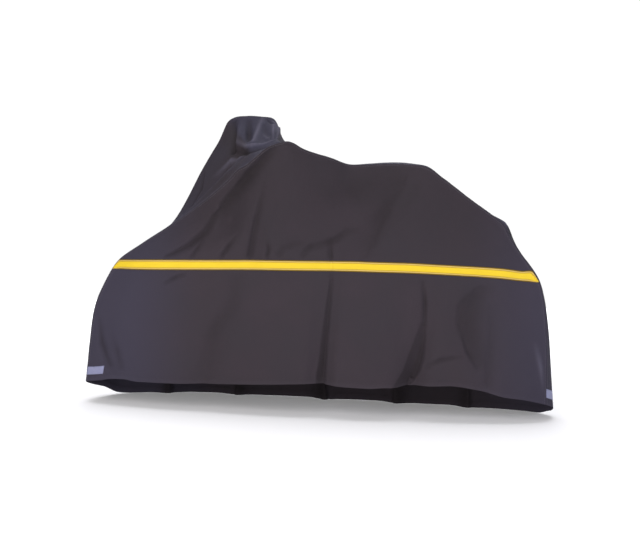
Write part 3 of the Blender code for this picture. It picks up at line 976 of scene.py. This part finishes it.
def turn_hem(obj, seam):
    """Turns up every open edge that isn't sewn to another piece."""
    outer = surface_of(obj)
    cloth = bmesh.new()
    cloth.from_mesh(obj.data)
    fixed = {v for v in cloth.verts if v.is_boundary and seam.find(v.co)[2] < ON_SEAM}
    hem = [e for e in cloth.edges if e.is_boundary and not set(e.verts) <= fixed]
    origin = {v: (v.co.copy(), v.normal.copy()) for e in hem for v in e.verts}
    for inwards, up in HEM_FOLD:
        made = bmesh.ops.extrude_edge_only(cloth, edges=hem)["geom"]
        hem = [g for g in made if isinstance(g, bmesh.types.BMEdge)]
        ring = [g for g in made if isinstance(g, bmesh.types.BMVert)]
        origin = {vert: origin[neighbour_in(vert, origin)] for vert in ring}
        for vert, (start, normal) in origin.items():
            place, facing, _, _ = outer.find_nearest(start + Vector((0.0, 0.0, up)))
            if up <= 0:
                place, facing = start + Vector((0.0, 0.0, up)), normal
            vert.co = place - facing * inwards
    cloth.to_mesh(obj.data)
    cloth.free()
    obj.data.shade_smooth()
    return len(hem)


print("hems are turned up", HEM_HEIGHT * 1000, "mm")

# %% [markdown]
# The stitches will need each seam and hem as a line, in order from end to end. The lines are
# taken before the hems are turned, because afterwards the open edge is inside.

# %% Lines of the seams and hems


def chains(points, keys):
    """Puts edges, given as pairs of point numbers, in order, as lists of places."""
    near = {}
    for a, b in keys:
        near.setdefault(a, []).append(b)
        near.setdefault(b, []).append(a)
    starts = [p for p, others in near.items() if len(others) == 1] or [next(iter(near))]
    found, used = [], set()
    for start in starts:
        if start in used:
            continue
        line, here = [], start
        while here is not None:
            used.add(here)
            line.append(points[here])
            here = next((p for p in near[here] if p not in used), None)
        found.append(np.array(line))
    return found


def open_edges(obj, seam, on_seam):
    """The object's sewn edge, or with on_seam False its hem, as ordered lines."""
    points = coords(obj.data)
    keys = []
    for key in boundary(obj):
        ends_sewn = all(seam.find(points[v])[2] < ON_SEAM for v in key)
        if ends_sewn == on_seam:
            keys.append(key)
    return chains(points, keys)


cloths = (side_left, side_right, strip)
surfaces = {cloth.name: surface_of(cloth) for cloth in cloths}
seam_lines = {}
hem_lines = {}
for cloth, seam in zip(cloths, (panel_seam, panel_seam, strip_seams)):
    seam_lines[cloth.name] = open_edges(cloth, seam, True)
    hem_lines[cloth.name] = open_edges(cloth, seam, False)
    print(f"{cloth.name}: hem of {turn_hem(cloth, seam)} edges")

# %% [markdown]
# ## The tapes
#
# What is sewn on lies on the cloth wherever the cloth goes, so each point of a tape is put a
# hair above the nearest point of the pressed cloth. Shrinkwrap does the same as a modifier, but
# the tree of the surface is there already. A tape's selvedge, its woven edge, is added to the
# solid's width. The map runs along the tape and across it in metres, for its woven stripes.

# %% Laying on and mapping


def lay_on(obj, surface, lift):
    points = coords(obj.data)
    for index, point in enumerate(points):
        place, facing, _, _ = surface.find_nearest(Vector(point))
        points[index] = place + facing * lift
    put_coords(obj.data, points)


def give_map(obj, along, across):
    """Writes a UV map in metres from one pair of values for each vertex."""
    layer = obj.data.uv_layers.new(name="cloth_map")
    corners = np.empty(len(obj.data.loops), dtype=np.int32)
    obj.data.loops.foreach_get("vertex_index", corners)
    layer.uv.foreach_set("vector", np.column_stack([along, across])[corners].ravel())


def solid_web(obj, thickness):
    web = obj.modifiers.new("thickness", "SOLIDIFY")
    web.thickness = thickness
    web.offset = -1.0


print("pieces to lay on the cloth:", len(tapes) + 2)

# %% Lay the tapes
TAPE_WIDTH = 0.041
TAPE_SELVEDGE = 0.002
TAPE_LIFT = 0.0013
NOT_ZERO = 1e-6


def long_edges(obj):
    """A band's lower and upper edge, each in order from the front to the rear."""
    points = coords(obj.data)
    ring = chains(points, boundary(obj))[0]
    front = np.argsort(ring[:, 0])[:2]
    order = np.roll(ring, -int(min(front)), axis=0)
    turn = int(np.argmax(order[:, 0]))
    halves = [order[: turn + 1], order[turn:]]
    return sorted(halves, key=lambda half: half[:, 2].mean())


def edge_distances(obj, points):
    """How far each point is from the band's lower and from its upper edge."""
    return (distance_to(points, tree_of(half)) for half in long_edges(obj))


def band_map(obj, width):
    """Along a band by X, across it by how near its two long edges are."""
    points = coords(obj.data)
    low, high = edge_distances(obj, points)
    give_map(obj, points[:, 0], width * low / np.maximum(low + high, NOT_ZERO))


def add_selvedge(obj, width):
    """Moves each of the band's two long edges out by the width."""
    points = coords(obj.data)
    low, high = edge_distances(obj, points)
    points[:, 2] += width * (low - high) / np.maximum(low + high, NOT_ZERO)
    put_coords(obj.data, points)


for side, tape in tapes.items():
    add_selvedge(tape, TAPE_SELVEDGE)
    lay_on(tape, surfaces[f"side_{side}"], TAPE_LIFT)
    band_map(tape, TAPE_WIDTH)
    surfaces[tape.name] = surface_of(tape)
    print(tape.name, "length", round(tape.dimensions.x, 3))

# %% [markdown]
# ## The labels
#
# The labels are small pieces of satin ribbon, sewn on flat, and they carry nothing. They are laid
# on as the tapes are. The front one is a tenth longer than its solid, so it is stretched from its
# front end before it is laid. Each label's map runs across it and up.

# %% Lay the labels
LABEL_LIFT = 0.0012
LABEL_ON = {"label_front": side_left, "label_rear": strip}
LABEL_GROWN = {"label_front": 1.10, "label_rear": 1.0}
LABEL_ACROSS = {"label_front": 0, "label_rear": 1}  # the axis that runs across each


def lengthen(obj, share):
    """Stretches a label to the rear from its front end."""
    points = coords(obj.data)
    start = points[:, 0].min()
    points[:, 0] = start + share * (points[:, 0] - start)
    put_coords(obj.data, points)


ribbons = {}
for node, cloth in LABEL_ON.items():
    ribbon = new_object(f"ribbon_{node.split('_')[1]}", outer_skin(node))
    refine(ribbon)
    lengthen(ribbon, LABEL_GROWN[node])
    lay_on(ribbon, surfaces[cloth.name], LABEL_LIFT)
    points = coords(ribbon.data)
    give_map(ribbon, points[:, LABEL_ACROSS[node]], points[:, 2])
    surfaces[ribbon.name] = surface_of(ribbon)
    ribbons[node] = ribbon
    print(ribbon.name, "faces", len(ribbon.data.polygons))

# %% [markdown]
# ## Threads
#
# Every seam, hem and tape on the cover is held by a row of machine stitches. A bump could draw
# them, but from close by they should stand on the cloth. A stitch is a short piece of thread
# that dips into the cloth at both ends, so a stretched ball with few faces does for it. One row
# of stitches is one piece: it follows an edge at an even inset, and each stitch lies on the
# cloth just there.

# %% One row of stitches
STITCH_PITCH = 0.0062
STITCH_LENGTH = 0.0044
THREAD = 0.00045
SUNK = 0.5


def spaced(line, pitch):
    """Evenly spaced places along a line, and the way that it runs at each."""
    runs = np.linalg.norm(np.diff(line, axis=0), axis=1)
    along = np.concatenate([[0.0], np.cumsum(runs)])
    at = np.arange(pitch, along[-1] - pitch / 2, pitch)
    places = np.column_stack([np.interp(at, along, line[:, axis]) for axis in range(3)])
    return places, np.gradient(places, axis=0)


def on_cloth_beside(place, way, surface, inset):
    """The spot on the cloth at that inset from its edge, and the cloth's facing there."""
    facing = surface.find_nearest(place)[1]
    aside = way.cross(facing).normalized() * inset
    tries = [surface.find_nearest(place + aside), surface.find_nearest(place - aside)]
    spot, facing, _, _ = min(tries, key=lambda found: found[3])
    return spot, facing


def stitch(name, line, surface, inset, radius=THREAD):
    row = bmesh.new()
    for place, way in zip(*spaced(line, STITCH_PITCH)):
        way = Vector(way).normalized()
        spot, facing = on_cloth_beside(Vector(place), way, surface, inset)
        aside = facing.cross(way).normalized()
        turn = Matrix((way, aside, way.cross(aside))).transposed().to_4x4()
        size = Matrix.Diagonal((STITCH_LENGTH / 2, radius, radius, 1.0))
        at = Matrix.Translation(spot + facing * radius * SUNK)
        bmesh.ops.create_icosphere(row, subdivisions=1, radius=1.0, matrix=at @ turn @ size)
    return new_object(name, row)


print("stitches in a metre:", round(1 / STITCH_PITCH))

# %% [markdown]
# Each kind of row has its own inset. The tapes and labels get their thickness only now, when
# their stitches have been laid on their plain upper face.

# %% Sew everything
SEAM_INSET = 0.0060
HEM_INSET = 0.0200
TAPE_INSET = 0.0085
LABEL_INSET = 0.0022
LABEL_THREAD = 0.0003
TAPE_WEB = 0.0009
LABEL_CLOTH = 0.0008

threads = {"seam": [], "hem": [], "tape": [], "label": []}
for cloth in cloths:
    surface = surfaces[cloth.name]
    rows = (("seam", seam_lines, SEAM_INSET), ("hem", hem_lines, HEM_INSET))
    for group, lines, inset in rows:
        for number, line in enumerate(lines[cloth.name], 1):
            name = f"{group}_thread_{cloth.name}_{number}"
            threads[group].append(stitch(name, line, surface, inset))
for side, tape in tapes.items():
    for edge, line in zip(("lower", "upper"), long_edges(tape)):
        name = f"tape_thread_{side}_{edge}"
        threads["tape"].append(stitch(name, line, surfaces[tape.name], TAPE_INSET))
    solid_web(tape, TAPE_WEB)
for node, ribbon in ribbons.items():
    line = chains(coords(ribbon.data), boundary(ribbon))[0]
    name = f"label_thread_{node.split('_')[1]}"
    row = stitch(name, line, surfaces[ribbon.name], LABEL_INSET, LABEL_THREAD)
    threads["label"].append(row)
    solid_web(ribbon, LABEL_CLOTH)
for group, rows in threads.items():
    print(group, "threads:", sum(len(row.data.polygons) for row in rows), "faces")

# %% [markdown]
# ## Maps on the cloth
#
# The weave follows the cut. On a side panel warp and weft run with the side view's X and Z. On
# the strip they run along it and across it, so its map counts metres along the left seam and
# metres away from it. Unwrapping would find some map too, but not one whose threads run true.
# One more layer says how near each point is to a sewn or turned edge, for the wear there.

# %% Cloth maps
EDGE_WEAR_REACH = 0.022


def length_along(points, line):
    """How far along the line each point is, by the nearest place on the line."""
    runs = np.linalg.norm(np.diff(line, axis=0), axis=1)
    along = np.concatenate([[0.0], np.cumsum(runs)])
    ways = np.gradient(line, axis=0)
    ways /= np.linalg.norm(ways, axis=1)[:, None]
    tree = tree_of(line)
    nearest = np.array([tree.find(p)[1] for p in points])
    return along[nearest] + np.einsum("ij,ij->i", points - line[nearest], ways[nearest])


def mark_edges(obj):
    """Stores 1 at the seams and hems and 0 away from them."""
    lines = np.concatenate(seam_lines[obj.name] + hem_lines[obj.name])
    near = 1.0 - eased(distance_to(coords(obj.data), tree_of(lines)), 0.0, EDGE_WEAR_REACH)
    store(obj, "near_edge", near)


for panel in (side_left, side_right):
    points = coords(panel.data)
    give_map(panel, points[:, 0], points[:, 2])
left_seam = min(seam_lines["strip"], key=lambda line: line[:, 1].mean())
points = coords(strip.data)
along_strip = length_along(points, left_seam)
give_map(strip, along_strip, distance_to(points, tree_of(left_seam)))
for cloth in cloths:
    mark_edges(cloth)
print("strip is", round(along_strip.max(), 2), "m long")

# %% [markdown]
# ## Shader arithmetic
#
# A finish is mostly sums on patterns, and sums are easier to read as sums than as nodes. `Wire`
# wraps a value inside a material and overloads the operators, so that an expression adds its
# Math nodes. The reflected forms let a plain number stand first, as in 1 - mask.

# %% Wire


class Wire:
    """One value on its way through a material."""

    def __init__(self, paint, socket):
        self.paint = paint
        self.socket = socket

    def math(self, operation, *values):
        sockets = dict(enumerate(values))
        return self.paint.node("ShaderNodeMath", {"operation": operation}, sockets)

    def __add__(self, other):
        return self.math("ADD", self, other)

    def __sub__(self, other):
        return self.math("SUBTRACT", self, other)

    def __rsub__(self, other):
        return self.math("SUBTRACT", other, self)

    def __mul__(self, other):
        return self.math("MULTIPLY", self, other)

    def sine(self):
        return self.math("SINE", self)

    __radd__ = __add__
    __rmul__ = __mul__


print("a wire can:", [word for word in vars(Wire) if callable(getattr(Wire, word))])

# %% [markdown]
# `Paint` holds the nodes of one material, or of the world. Its one method `node` adds any node:
# the settings come first, because some of them change the sockets, and then each socket gets a
# number or a wire. The other methods are short names for what every finish here needs.

# %% Paint
MIX_FACTOR, MIX_FIRST, MIX_SECOND, MIX_COLOUR = 0, 6, 7, 2  # the colour sockets of a Mix node


class Paint:
    """The nodes of a material, or of a world."""

    def __init__(self, owner):
        owner.use_nodes = True
        self.owner = owner
        self.tree = owner.node_tree
        self.tree.nodes.clear()

    def node(self, kind, settings=None, sockets=None, output=0):
        """Adds a node and gives back one of its outputs."""
        made = self.tree.nodes.new(kind)
        for key, value in (settings or {}).items():
            if key == "stops":
                self.put_stops(made.color_ramp, value)
            else:
                setattr(made, key, value)
        for key, value in (sockets or {}).items():
            if isinstance(value, Wire):
                self.tree.links.new(value.socket, made.inputs[key])
            else:
                made.inputs[key].default_value = value
        return Wire(self, made.outputs[output]) if made.outputs else None

    def put_stops(self, ramp, stops):
        while len(ramp.elements) < len(stops):
            ramp.elements.new(0.5)
        for element, (position, colour) in zip(ramp.elements, stops):
            element.position = position
            element.color = (*colour, 1.0)

    def mix(self, factor, first, second):
        """One colour at factor 0 and the other at 1."""
        ends = {MIX_FACTOR: factor, MIX_FIRST: first, MIX_SECOND: second}
        return self.node("ShaderNodeMix", {"data_type": "RGBA"}, ends, MIX_COLOUR)

    def finish(self, **sockets):
        """The shader, with its sockets named in words joined by an underscore."""
        named = {key.replace("_", " "): value for key, value in sockets.items()}
        shader = self.node("ShaderNodeBsdfPrincipled", None, named)
        self.node("ShaderNodeOutputMaterial", None, {"Surface": shader})
        return self.owner


def rgba(red, green, blue):
    return (red, green, blue, 1.0)


def paint_on(pieces, finish):
    """Gives the pieces that finish and no other."""
    for piece in pieces:
        piece.data.materials.clear()
        piece.data.materials.append(finish)
    print(f"{finish.name}: {len(finish.node_tree.nodes)} nodes, on", *(p.name for p in pieces))


print("a paint can:", [word for word in vars(Paint) if callable(getattr(Paint, word))])

# %% [markdown]
# ## Patterns
#
# These few patterns make all the finishes. A plain weave is two sets of ripples that cross, too
# fine to see one by one from far away, so it only goes into the bump. It follows the piece's own
# map. Patches, flecks and grime are noise on the piece's own coordinates, which is seamless from
# one cloth to the next.

# %% Patterns


def cloth_map(paint):
    return paint.node("ShaderNodeUVMap", {"uv_map": "cloth_map"})


def place_of(paint):
    return paint.node("ShaderNodeTexCoord", output="Object")


def part_of(paint, vector, axis):
    return paint.node("ShaderNodeSeparateXYZ", None, {"Vector": vector}, axis)


def layer_of(paint, name):
    """A number that was kept with the cloth's points."""
    return paint.node("ShaderNodeAttribute", {"attribute_name": name}, output="Fac")


def ripples(paint, axis, pitch):
    return (part_of(paint, cloth_map(paint), axis) * (2 * math.pi / pitch)).sine()


def weave_height(paint, pitch):
    """Ripples of warp and weft."""
    return ripples(paint, "X", pitch) * ripples(paint, "Y", pitch)


def noise_of(paint, place, scale, detail=2.0, rough=0.5):
    sockets = {"Vector": place, "Scale": scale, "Detail": detail, "Roughness": rough}
    return paint.node("ShaderNodeTexNoise", None, sockets)


def smooth_range(paint, value, start, end):
    """0 at the start, 1 at the end, with an even passage."""
    sockets = {"Value": value, "From Min": start, "From Max": end}
    return paint.node("ShaderNodeMapRange", {"interpolation_type": "SMOOTHSTEP"}, sockets)


def bumped(paint, height, strength, distance=1.0):
    sockets = {"Strength": strength, "Distance": distance, "Height": height}
    return paint.node("ShaderNodeBump", None, sockets)


layers = [a.name for a in strip.data.attributes if a.data_type == "FLOAT"]
print("layers that the cloth's finish can read:", *layers)

# %% [markdown]
# ## The cover's cloth
#
# It is thin, closely woven synthetic cloth with a rain coating, dark grey with a breath of
# violet. Cloth that has hung outdoors isn't one flat grey, and one colour over a bump would look
# like rubber. So the colour is built in layers: large soft patches and fine flecks of its own
# tone, rubbed paler near the seams and hems. Light and shade are painted over it: a paler, bluer
# sheen on both ends, painted shade over the upper half, a painted bluish tint of light from above
# where the top faces the sky, painted shade in the creases and under the tucks, and a painted
# highlight on the folds that stand out. The depths and edges kept with the points say where.

# %% Cloth colours
THREAD_PITCH = 0.0009
CLOTH_PLAIN = rgba(0.0325, 0.0295, 0.035)
CLOTH_WARM = rgba(0.038, 0.0285, 0.034)
# paler, bluer colour painted on both ends as a sheen of light
CLOTH_END_SHEEN = rgba(0.040, 0.036, 0.052)
CLOTH_PALE = rgba(0.066, 0.060, 0.076)
# paler colour painted on the ridges as a highlight
CLOTH_RIDGE_HIGHLIGHT = rgba(0.100, 0.094, 0.128)
# bluish colour painted on the sky-facing top as a tint of light from above
CLOTH_SKY_SHEEN = rgba(0.036, 0.034, 0.052)
# dark colour of the painted shade in the creases, under the tucks and over the upper half
CLOTH_PAINTED_SHADE = rgba(0.017, 0.014, 0.015)
# where the painted sheen of light on both ends fades in
SHEEN_FRONT = (-0.36, -0.70)  # along X
SHEEN_REAR = (0.52, 0.88)
# where the painted shade over the upper half fades in
SHADED_ABOVE = (0.45, 0.80)  # along Z
REAR_SHARE = 0.85
# strength of the painted shade over the upper half
UPPER_SHADE = 0.22
# strength of the painted shade in the creases and under the tucks
CREASE_SHADE = 0.70
# strength of the painted highlight on the ridges
RIDGE_HIGHLIGHT = 0.55
print("cloth threads in a centimetre:", round(0.01 / THREAD_PITCH))

# %% Cloth finish


def cloth_colour(paint, place, patches, fleck):
    front = smooth_range(paint, part_of(paint, place, "X"), *SHEEN_FRONT)
    rear = smooth_range(paint, part_of(paint, place, "X"), *SHEEN_REAR)
    high = smooth_range(paint, part_of(paint, place, "Z"), *SHADED_ABOVE)
    body = paint.mix(patches, CLOTH_PLAIN, CLOTH_WARM)
    # painted sheen: both ends paler and bluer, standing in for light caught there
    body = paint.mix(front + rear * REAR_SHARE, body, CLOTH_END_SHEEN)
    # painted shade: the upper half darker
    body = paint.mix(high * UPPER_SHADE, body, CLOTH_PAINTED_SHADE)
    # painted light: the sky-facing top tinted bluer, as if lit from above
    body = paint.mix(layer_of(paint, "open_to_sky"), body, CLOTH_SKY_SHEEN)
    # painted shade in the creases and under the tucks
    body = paint.mix(layer_of(paint, "pressed") * CREASE_SHADE, body, CLOTH_PAINTED_SHADE)
    # painted highlight on the folds that stand out
    body = paint.mix(layer_of(paint, "raised") * RIDGE_HIGHLIGHT, body, CLOTH_RIDGE_HIGHLIGHT)
    edges = layer_of(paint, "near_edge") * 0.08
    rubbed = edges + (fleck - 0.5) * 0.25 + (patches - 0.5) * 0.30
    return paint.mix(rubbed, body, CLOTH_PALE)


def cloth_paint():
    paint = Paint(bpy.data.materials.new("coated_cloth"))
    place = place_of(paint)
    patches = noise_of(paint, place, 4.5, 3.0)
    fleck = noise_of(paint, place, 420.0, 1.0)
    crumple = noise_of(paint, place, 60.0, 3.0, 0.6)
    height = weave_height(paint, THREAD_PITCH) * 0.00006 + crumple * 0.0006
    return paint.finish(
        Base_Color=cloth_colour(paint, place, patches, fleck),
        Roughness=0.72 + (patches - 0.5) * 0.20 + (fleck - 0.5) * 0.10,
        Normal=bumped(paint, height, 0.6),
        Specular_IOR_Level=0.04,
    )


paint_on(cloths, cloth_paint())

# %% [markdown]
# ## The tape
#
# It is woven safety webbing: a bright yellow middle, a paler border outside each row of
# stitches, and a dark line along each edge, where it meets the cloth. The stripes run along it and
# are the same from either edge, so half of them are written down and mirrored, and a colour ramp
# over the width carries them. Separate strips of faces would do the same with a harder edge.

# %% Tape finish
TAPE_RIB = 0.0016
TAPE_PITCH = 0.0011
TAPE_GRIME = rgba(0.40, 0.28, 0.04)
HALF_STRIPES = (
    (0.000, (0.150, 0.092, 0.002)),
    (0.085, (0.150, 0.092, 0.003)),
    (0.110, (0.520, 0.370, 0.110)),
    (0.160, (0.560, 0.395, 0.110)),
    (0.200, (0.360, 0.225, 0.014)),
    (0.280, (0.650, 0.460, 0.020)),
)
TAPE_STRIPES = HALF_STRIPES + tuple((1 - at, colour) for at, colour in reversed(HALF_STRIPES))


def tape_paint():
    paint = Paint(bpy.data.materials.new("safety_webbing"))
    across = part_of(paint, cloth_map(paint), "Y") * (1 / TAPE_WIDTH)
    stripes = paint.node("ShaderNodeValToRGB", {"stops": TAPE_STRIPES}, {"Fac": across})
    grime = noise_of(paint, place_of(paint), 22.0, 4.0, 0.6)
    height = ripples(paint, "X", TAPE_RIB) * 0.00007 + weave_height(paint, TAPE_PITCH) * 0.00004
    return paint.finish(
        Base_Color=paint.mix((grime - 0.45) * 0.30, stripes, TAPE_GRIME),
        Roughness=0.62 + (grime - 0.5) * 0.3,
        Normal=bumped(paint, height, 0.7),
        Specular_IOR_Level=0.16,
    )


paint_on(list(tapes.values()), tape_paint())

# %% [markdown]
# ## The labels' satin
#
# Satin ribbon has fine ribs across it and a soft gloss, so its roughness is lower than the
# cloth's. It is blue-grey and rubbed in places, and bare, with only its row of stitches as a
# border.

# %% Label finish
SATIN_RIB = 0.0010


def ribbon_paint():
    paint = Paint(bpy.data.materials.new("satin_ribbon"))
    rub = noise_of(paint, place_of(paint), 90.0, 3.0)
    height = ripples(paint, "X", SATIN_RIB) * 0.00005 + rub * 0.0002
    return paint.finish(
        Base_Color=paint.mix(rub, rgba(0.160, 0.166, 0.272), rgba(0.236, 0.243, 0.362)),
        Roughness=0.45 + rub * 0.2,
        Normal=bumped(paint, height, 0.6),
        Specular_IOR_Level=0.25,
    )


paint_on(list(ribbons.values()), ribbon_paint())

# %% [markdown]
# ## The threads' finish
#
# A sewer picks thread to match: grey on the seams, near black on the hems, ochre on the tapes,
# slate on the labels. A stitch is half a millimetre thick, so its twist is only a fine noise that
# varies the colour and the bump. Four materials come from one function.

# %% Thread finishes
TWIST_DEPTH = 0.0004


def thread_paint(name, dark, light):
    paint = Paint(bpy.data.materials.new(name))
    twist = noise_of(paint, place_of(paint), 900.0, 1.0)
    return paint.finish(
        Base_Color=paint.mix(twist, dark, light),
        Roughness=0.6 + twist * 0.2,
        Normal=bumped(paint, twist, 0.4, TWIST_DEPTH),
        Specular_IOR_Level=0.1,
    )


thread_finishes = {
    "seam": thread_paint("grey_thread", rgba(0.075, 0.068, 0.080), rgba(0.125, 0.115, 0.135)),
    "hem": thread_paint("dark_thread", rgba(0.024, 0.021, 0.025), rgba(0.042, 0.037, 0.046)),
    "tape": thread_paint("ochre_thread", rgba(0.36, 0.25, 0.03), rgba(0.52, 0.37, 0.05)),
    "label": thread_paint("slate_thread", rgba(0.11, 0.11, 0.18), rgba(0.17, 0.17, 0.25)),
}
for group, rows in threads.items():
    paint_on(rows, thread_finishes[group])

# %% [markdown]
# ## The floor
#
# A photo for a catalogue is lit so brightly that floor and background are one white, and only a
# soft shadow tells where the floor is. The floor is a wide pale disc. It glows a little, and
# more towards its rim, so that its edge melts into the white of the room. A curved backdrop
# would hide the edge too, but from other sides it would stand in the picture.

# %% Floor
FLOOR_HEIGHT = -0.001
FLOOR_RADIUS = 4.6
FLOOR_SIDES = 96
FLOOR_GLOW = 0.60
GLOW_GROWS = (1.1, 3.0)


def floor_paint():
    paint = Paint(bpy.data.materials.new("pale_floor"))
    place = place_of(paint)
    cloud = noise_of(paint, place, 0.8, 2.0)
    out = paint.node("ShaderNodeVectorMath", {"operation": "LENGTH"}, {0: place}, "Value")
    outer = smooth_range(paint, out, *GLOW_GROWS)
    return paint.finish(
        Base_Color=paint.mix(cloud, rgba(0.88, 0.88, 0.88), rgba(0.90, 0.90, 0.90)),
        Roughness=0.8,
        Specular_IOR_Level=0.1,
        Emission_Color=paint.mix(outer, rgba(0.30, 0.30, 0.30), rgba(1.0, 1.0, 1.0)),
        Emission_Strength=FLOOR_GLOW,
    )


def add_floor():
    disc = bmesh.new()
    level = Matrix.Translation((0.0, 0.0, FLOOR_HEIGHT))
    bmesh.ops.create_circle(
        disc, cap_ends=True, segments=FLOOR_SIDES, radius=FLOOR_RADIUS, matrix=level
    )
    return new_object("floor", disc)


floor = add_floor()
paint_on([floor], floor_paint())

# %% [markdown]
# ## The room and its lamps
#
# The room looks white to the camera but gives a weaker, even light. Light Path tells the two
# apart, because a room as bright as it looks would wash out every fold. A large soft lamp
# in front, a little to the left and above, makes the slopes of the folds that face it paler. One
# above lightens the top and lays the soft shadow, a weak bluish one stands at the right, and one
# behind lights the far side. They are large because a small lamp gives the shadow a hard edge.
# The view transform is Standard, so that the colours stay as they were chosen.

# %% World and lamps
ROOM_WHITE = 1.02
ROOM_LIGHT = 0.22
LAMPS = (
    # name, place, what it points at, size, power, colour
    ("front_left", (-1.2, -5.0, 1.8), (0.0, 0.0, 0.5), 4.6, 250.0, (1.0, 0.97, 0.98)),
    ("above", (-0.4, 0.6, 4.4), (0.0, 0.0, 0.2), 6.0, 170.0, (0.94, 0.95, 1.0)),
    ("right", (4.2, -2.4, 1.2), (0.3, 0.0, 0.4), 1.6, 70.0, (0.85, 0.85, 1.0)),
    ("behind", (-0.6, 5.2, 2.2), (0.0, 0.0, 0.5), 4.6, 130.0, (1.0, 0.98, 1.0)),
)


def light_room():
    """A room that looks white and gives a weaker, even light."""
    world = bpy.data.worlds.new("white_room")
    bpy.context.scene.world = world
    paint = Paint(world)
    seen = paint.node("ShaderNodeLightPath", output="Is Camera Ray")
    strength = ROOM_LIGHT + seen * (ROOM_WHITE - ROOM_LIGHT)
    sockets = {"Color": rgba(1.0, 1.0, 1.0), "Strength": strength}
    light = paint.node("ShaderNodeBackground", None, sockets)
    paint.node("ShaderNodeOutputWorld", None, {"Surface": light})


def add_lamp(name, place, aim, size, power, colour):
    data = bpy.data.lights.new(name, "AREA")
    data.shape = "DISK"
    data.size = size
    data.energy = power
    data.color = colour
    lamp = bpy.data.objects.new(name, data)
    lamp.location = place
    lamp.rotation_euler = (Vector(aim) - Vector(place)).to_track_quat("-Z", "Y").to_euler()
    bpy.context.scene.collection.objects.link(lamp)


light_room()
for lamp in LAMPS:
    add_lamp(*lamp)
bpy.context.scene.view_settings.view_transform = "Standard"

# %% [markdown]
# ## What stands for what
#
# Each piece rides on one body, the root, and stands in for the solid that it was made from,
# which is hidden. The strip is widest at the peak and the panels are cut to an outline.

stands_for = {
    side_left: ("panel_left", "cloth"),
    side_right: ("panel_right", "cloth"),
    strip: ("top_strip", "cloth"),
    tapes["left"]: ("tape_left", "tape"),
    tapes["right"]: ("tape_right", "tape"),
    ribbons["label_front"]: ("label_front", "label"),
    ribbons["label_rear"]: ("label_rear", "label"),
}
for piece, (node, finish) in stands_for.items():
    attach(piece, "root")
    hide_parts(node)
for group, rows in threads.items():
    for row in rows:
        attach(row, "root")
        group if group in ("tape", "label") else "cloth"
floor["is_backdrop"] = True
print("pieces:", len(stands_for) + sum(len(rows) for rows in threads.values()))

# %% [markdown]
# ## Sizes
#
# How far the creases and tapes have made the cover larger than the model's box is worked out
# for each side and printed.

# %% Sizes
visual_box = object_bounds()
grown = [round(1000 * (visual_box[i][a] - cad_box[i][a]), 1) for i in (0, 1) for a in range(3)]
print("beyond the solids' box, mm:", grown)
